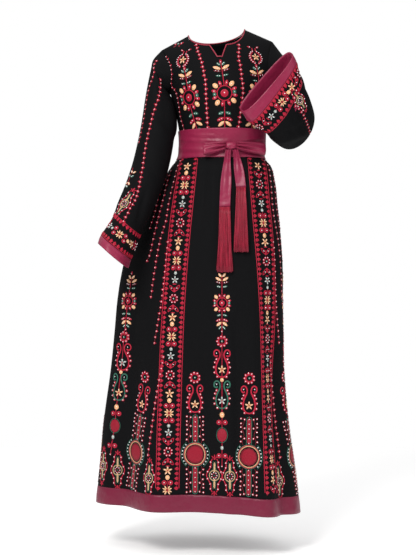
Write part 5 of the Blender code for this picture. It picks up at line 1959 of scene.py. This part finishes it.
    def skirt(self) -> None:
        """Bands, columns, medallions and chains on the skirt front."""
        work = Stitchery(self.charts["skirt_front_cloth"])
        chart = work.chart
        knots = np.array(SIDE_COLUMN)
        outer = [chart.arc_of((float(through(knots[:, 1], knots[:, 0], y)), y)) for y in SIDE_LEVELS]
        small = [chart.arc_of(pixel) for pixel in SMALL_MEDALLION_PIXELS]
        small += [(-0.022, -1.240), (-FAR_MEDALLION_ARC, -1.236)]
        for side in (-1.0, 1.0):
            self.band(work, side)
            for pixels, size in SKIRT_CHAINS:
                arcs = [chart.arc_of(p) for p in pixels]
                places = np.array([chart.at(-side * arc, z) for arc, z in arcs])
                bead_chain(work, work.spaced(places, 0.0165), 0.98 * size)
            self.drop_column(work, [chart.at(-side * arc, z) for arc, z in outer],
                             (Thread.SILVER, Thread.PEACH), SIDE_WIDE)
            centre = [(-MEDALLION_ARC, z) for z in MEDALLION_LEVELS]
            sloped = [chart.arc_of(pixel) for pixel in SIDE_MEDALLION]
            for spots, lean in ((centre, 0.0), (sloped, side * SIDE_LEAN)):
                wide = SIDE_WIDE if lean else 1.0
                disc, scroll, wreath = [
                    work.site(chart.at(-side * arc, z), turn=lean, wide=wide) for arc, z in spots
                ]
                tall_medallion(disc)
                scroll_drop(scroll, Thread.CRIMSON, Thread.PEACH)
                ring_flower(wreath, 0.0172, 9)
            for arc, z in small:
                small_medallion(work.site(chart.at(-side * arc, z)))
        middle = [chart.at(0.0, MIDDLE_TOP_Z - drop) for drop in MIDDLE_DROPS]
        self.drop_column(work, middle, (Thread.PEACH, Thread.SILVER))
        self.finish(work, "skirt_front")

    def skirt_back(self) -> None:
        """Medallions that carry the hem's border on round the back."""
        work = Stitchery(self.charts["skirt_back_cloth"])
        chart = work.chart
        row = len(chart.levels) - 1
        reach = float(chart.arcs(row)[-1])
        count = 7
        for k in range(-count, count + 1):
            arc = reach * k / (count + 0.5)
            if k % 2:
                tall_medallion(work.site(chart.at(arc, -1.190), size=0.92))
            else:
                small_medallion(work.site(chart.at(arc, -1.238)))
        self.finish(work, "skirt_back")

    def hanging_sleeve(self) -> None:
        """Chains, the medallion and the cuff's border on the hanging sleeve."""
        chart = self.charts["sleeve_right_cloth"]
        work = Stitchery(chart)
        bead_chain(work, work.trace(SLEEVE_CHAIN_OUTER, 0.0140), 0.80)
        bead_chain(work, work.trace(SLEEVE_CHAIN_INNER, 0.0145), 0.88)
        along = unit(np.array([0.30, 0.0, 0.95]))
        site = work.at_pixel(130.2, 178.0, up=along)
        work.line([(133, 168), (129.5, 178), (126.8, 187)], 0.0018, Thread.CRIMSON)
        leaves(site, 0.014, 0.0130, 0.0062, 35, Thread.PEACH)
        leaves(site, 0.002, 0.0140, 0.0066, 30, Thread.GREEN)
        leaves(site, -0.012, 0.0150, 0.0070, -30, Thread.PEACH)
        leaves(site, -0.021, 0.0120, 0.0058, -35, Thread.GREEN)
        small_medallion(work.at_pixel(124.2, 203.5, size=0.92, up=unit(np.array([0.42, 0.0, 0.91]))))
        self.cuff_border(work, (0.008, 0.040, 0.072), (130.2, 247.0), -90.0)
        self.finish(work, "sleeve_right")

    def cuff_border(self, work: Stitchery, depths: Sequence[float], star_pixel: Pixel, turn: float) -> None:
        """Two border rows with the band's flowers between them, all round above a satin band.

        Args:
            work: the sleeve's stitching.
            depths: how far up the lower row, the flowers and the upper row are.
            star_pixel: where a peach star is.
            turn: 90 when the flowers follow it to the right, -90 to the left.
        """
        chart = work.chart
        rows, columns = chart.points.shape[:2]
        lengths = np.linalg.norm(np.diff(chart.points[::-1], axis=0), axis=-1).cumsum(axis=0)

        def ring_run(away: float) -> tuple[Array, Array]:
            back = [np.interp(away, np.append(0.0, lengths[:, c]), np.arange(rows)) for c in range(columns)]
            places = np.stack([rows - 1 - np.array(back), np.arange(columns)], axis=-1).astype(float)
            closed = np.concatenate([places, places[:1] + (0, columns)])
            line = chart.read(chart.points, closed)
            return closed, np.concatenate([[0.0], np.cumsum(np.linalg.norm(np.diff(line, axis=0), axis=-1))])

        def along_ring(closed: Array, run: Array, marks: Array) -> Array:
            return np.stack([np.interp(marks % run[-1], run, closed[:, k]) for k in (0, 1)], axis=-1)

        for away, way in ((depths[0], 90.0), (depths[2], -90.0)):
            closed, run = ring_run(away)
            count = round(run[-1] / CUFF_BORDER_STEP)
            for place in along_ring(closed, run, np.arange(count) * run[-1] / count):
                border_flower(work.site(place, up=chart.upward(place), turn=way), 0.0050)
            line, reach = ring_run(max(0.0015, away + math.copysign(0.0055, -way)))
            work.ribbon(
                along_ring(line, reach, np.linspace(0, 0.99999 * reach[-1], 200)), 0.0020, Thread.CRIMSON
            )
        closed, run = ring_run(depths[1])
        start = float(np.interp(chart.find(star_pixel)[1], closed[:, 1], run))
        here, ahead = along_ring(closed, run, np.array([start, start + 0.004]))
        rightward = work.site(here, up=chart.upward(here)).axes[0]
        sense = np.sign((chart.read(chart.points, ahead) - chart.read(chart.points, here)) @ rightward)
        for k in range(-2, 2):
            for step, draw in BAND_STEPS:
                away = CUFF_SCALE * (step + k * BAND_REPEAT)
                if abs(away + 0.001) < 0.5 * run[-1] - 0.004:
                    mark = np.array([start + sense * math.copysign(1.0, turn) * away])
                    place = along_ring(closed, run, mark)[0]
                    draw(work.site(place, up=chart.upward(place), turn=turn, size=CUFF_SCALE))

    def raised_sleeve(self) -> None:
        """The cuff's border, a chain and a medallion on the raised sleeve."""
        work = Stitchery(self.charts["sleeve_left_cloth"])
        self.cuff_border(work, (0.0055, 0.026, 0.051), (289.7, 80.7), 90.0)
        bead_chain(work, work.trace(RAISED_CHAIN, 0.0140), 0.85)
        place = work.chart.find((300.0, 100.5))
        small_medallion(work.site(place, up=work.chart.upward(place), size=0.80))
        self.finish(work, "sleeve_left")

    def build(self) -> None:
        """Draws everything."""
        self.bodice()
        self.skirt()
        self.skirt_back()
        self.hanging_sleeve()
        self.raised_sleeve()


@dataclass
class Binding:
    """The corded crimson binding of the neckline."""

    charts: dict
    finishes: Finishes
    radius: float = 0.0017
    gap: float = 0.0005

    def build(self) -> None:
        """Makes the binding as a closed tube just above the cloth's edge."""
        front = self.charts["bodice_front_cloth"]
        back = self.charts["bodice_back_cloth"]
        ups, edges = [], []
        front_columns = range(SHOULDER_STEPS, front.points.shape[1] - SHOULDER_STEPS)
        back_columns = range(back.points.shape[1] - SHOULDER_STEPS - 2, SHOULDER_STEPS, -1)
        for chart, columns in ((front, front_columns), (back, back_columns)):
            for c in columns:
                edges.append(chart.points[-1, c] - 0.00075 * chart.normals[-1, c])
                ups.append(unit(chart.points[-1, c] - chart.points[-3, c]))
        edges, ups = np.array(edges), np.array(ups)
        keep = np.linalg.norm(edges - np.roll(edges, 1, axis=0), axis=-1) > 0.0008
        edges, ups = edges[keep], ups[keep]
        along = unit(np.roll(edges, -1, axis=0) - np.roll(edges, 1, axis=0))
        ups = unit(ups - (ups * along).sum(axis=1, keepdims=True) * along)
        centres = edges + (self.radius + self.gap) * ups
        across = np.cross(along, ups)
        sides = 10
        rings = [centres + self.radius * (math.cos(t) * ups + math.sin(t) * across)
                 for t in 2 * math.pi * np.arange(sides) / sides]
        vertices = np.stack(rings, axis=1).reshape(-1, 3)
        count = len(centres)
        faces = []
        for k in range(count):
            n = (k + 1) % count
            for s in range(sides):
                m = (s + 1) % sides
                faces.append((k * sides + s, n * sides + s, n * sides + m, k * sides + m))
        made = mesh_object("neck_binding_cord", vertices, faces)
        made.data.materials.append(self.finishes.binding)
        fix_normals(made)
        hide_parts("neck_binding")
        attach(made, BODY)


def fix_normals(made: bpy.types.Object) -> None:
    """Turns a closed mesh's faces outwards."""
    bm = bmesh.new()
    bm.from_mesh(made.data)
    bmesh.ops.recalc_face_normals(bm, faces=bm.faces[:])
    bm.to_mesh(made.data)
    bm.free()


@dataclass
class Studio:
    """White background, soft lights and the camera."""

    def area(self, name: str, place: tuple, target: tuple, size: float, power: float, colour: tuple) -> None:
        """A square area light aimed at a point."""
        light = bpy.data.lights.new(name, "AREA")
        light.shape = "SQUARE"
        light.size = size
        light.energy = power
        light.color = colour
        holder = bpy.data.objects.new(name, light)
        bpy.context.scene.collection.objects.link(holder)
        holder.location = place
        holder.rotation_euler = (Vector(target) - Vector(place)).to_track_quat("-Z", "Y").to_euler()

    def surroundings(self, tree: bpy.types.NodeTree) -> None:
        """A white background that lights the dress only softly, and mostly from above."""
        back = tree.nodes["Background"]
        back.inputs["Color"].default_value = (1.0, 1.0, 1.0, 1.0)
        coordinates = tree.nodes.new("ShaderNodeTexCoord")
        split = tree.nodes.new("ShaderNodeSeparateXYZ")
        gradient = tree.nodes.new("ShaderNodeMapRange")
        for key, value in (("From Min", 0.0), ("From Max", 1.0), ("To Min", SKY_LOW), ("To Max", SKY_HIGH)):
            gradient.inputs[key].default_value = value
        path = tree.nodes.new("ShaderNodeLightPath")
        brighter = tree.nodes.new("ShaderNodeMath")
        brighter.operation = "MAXIMUM"
        tree.links.new(coordinates.outputs["Generated"], split.inputs["Vector"])
        tree.links.new(split.outputs["Z"], gradient.inputs["Value"])
        tree.links.new(gradient.outputs["Result"], brighter.inputs[0])
        tree.links.new(path.outputs["Is Camera Ray"], brighter.inputs[1])
        tree.links.new(brighter.outputs["Value"], back.inputs["Strength"])

    def floor(self) -> None:
        """A plain pale floor under the dress."""
        steps = 96
        rim = [(FLOOR_RADIUS * math.cos(t), FLOOR_RADIUS * math.sin(t), FLOOR_Z)
               for t in 2 * math.pi * np.arange(steps) / steps]
        made = mesh_object("floor", np.array(rim), [tuple(range(steps))])
        material = bpy.data.materials.new("pale_floor")
        material.use_nodes = True
        shader = material.node_tree.nodes["Principled BSDF"]
        shader.inputs["Base Color"].default_value = (0.95, 0.95, 0.95, 1.0)
        shader.inputs["Roughness"].default_value = 0.9
        shader.inputs["Emission Color"].default_value = (1.0, 1.0, 1.0, 1.0)
        shader.inputs["Emission Strength"].default_value = 0.26
        made.data.materials.append(material)

    def build(self) -> None:
        """Sets the world, the floor, the lights and the camera."""
        scene = bpy.context.scene
        world = bpy.data.worlds.new("white studio")
        scene.world = world
        world.use_nodes = True
        self.surroundings(world.node_tree)
        scene.view_settings.view_transform = "Standard"
        self.area("key light", (-1.0, -2.5, 1.1), (0.0, 0.0, -0.4), 1.0, 74.0, (1.0, 0.98, 0.96))
        self.area("fill light", (2.2, -2.6, 0.0), (0.0, 0.0, -0.65), 1.6, 14.0, (0.97, 0.98, 1.0))
        self.floor()
        data = bpy.data.cameras.new("photo camera")
        data.sensor_width = SENSOR_MM
        data.lens = LENS_MM
        data.dof.use_dof = False
        camera = bpy.data.objects.new("photo camera", data)
        scene.collection.objects.link(camera)
        camera.location = (CAMERA_X, CAMERA_Y, CAMERA_Z)
        camera.rotation_euler = (math.pi / 2, 0.0, 0.0)
        scene.camera = camera


def main() -> None:
    """Builds the dress's looks."""
    logging.basicConfig(level=logging.INFO, format="%(name)s: %(message)s")
    form = DressForm()
    finishes = Finishes()
    finishes.build()
    Studio().build()
    dress = Dress(form, finishes)
    dress.build()
    Bow(form, finishes, dress.shells).build()
    Binding(dress.shells.charts, finishes).build()
    Embroidery(finishes, dress.shells.charts).build()


if __name__ == "__main__":
    main()
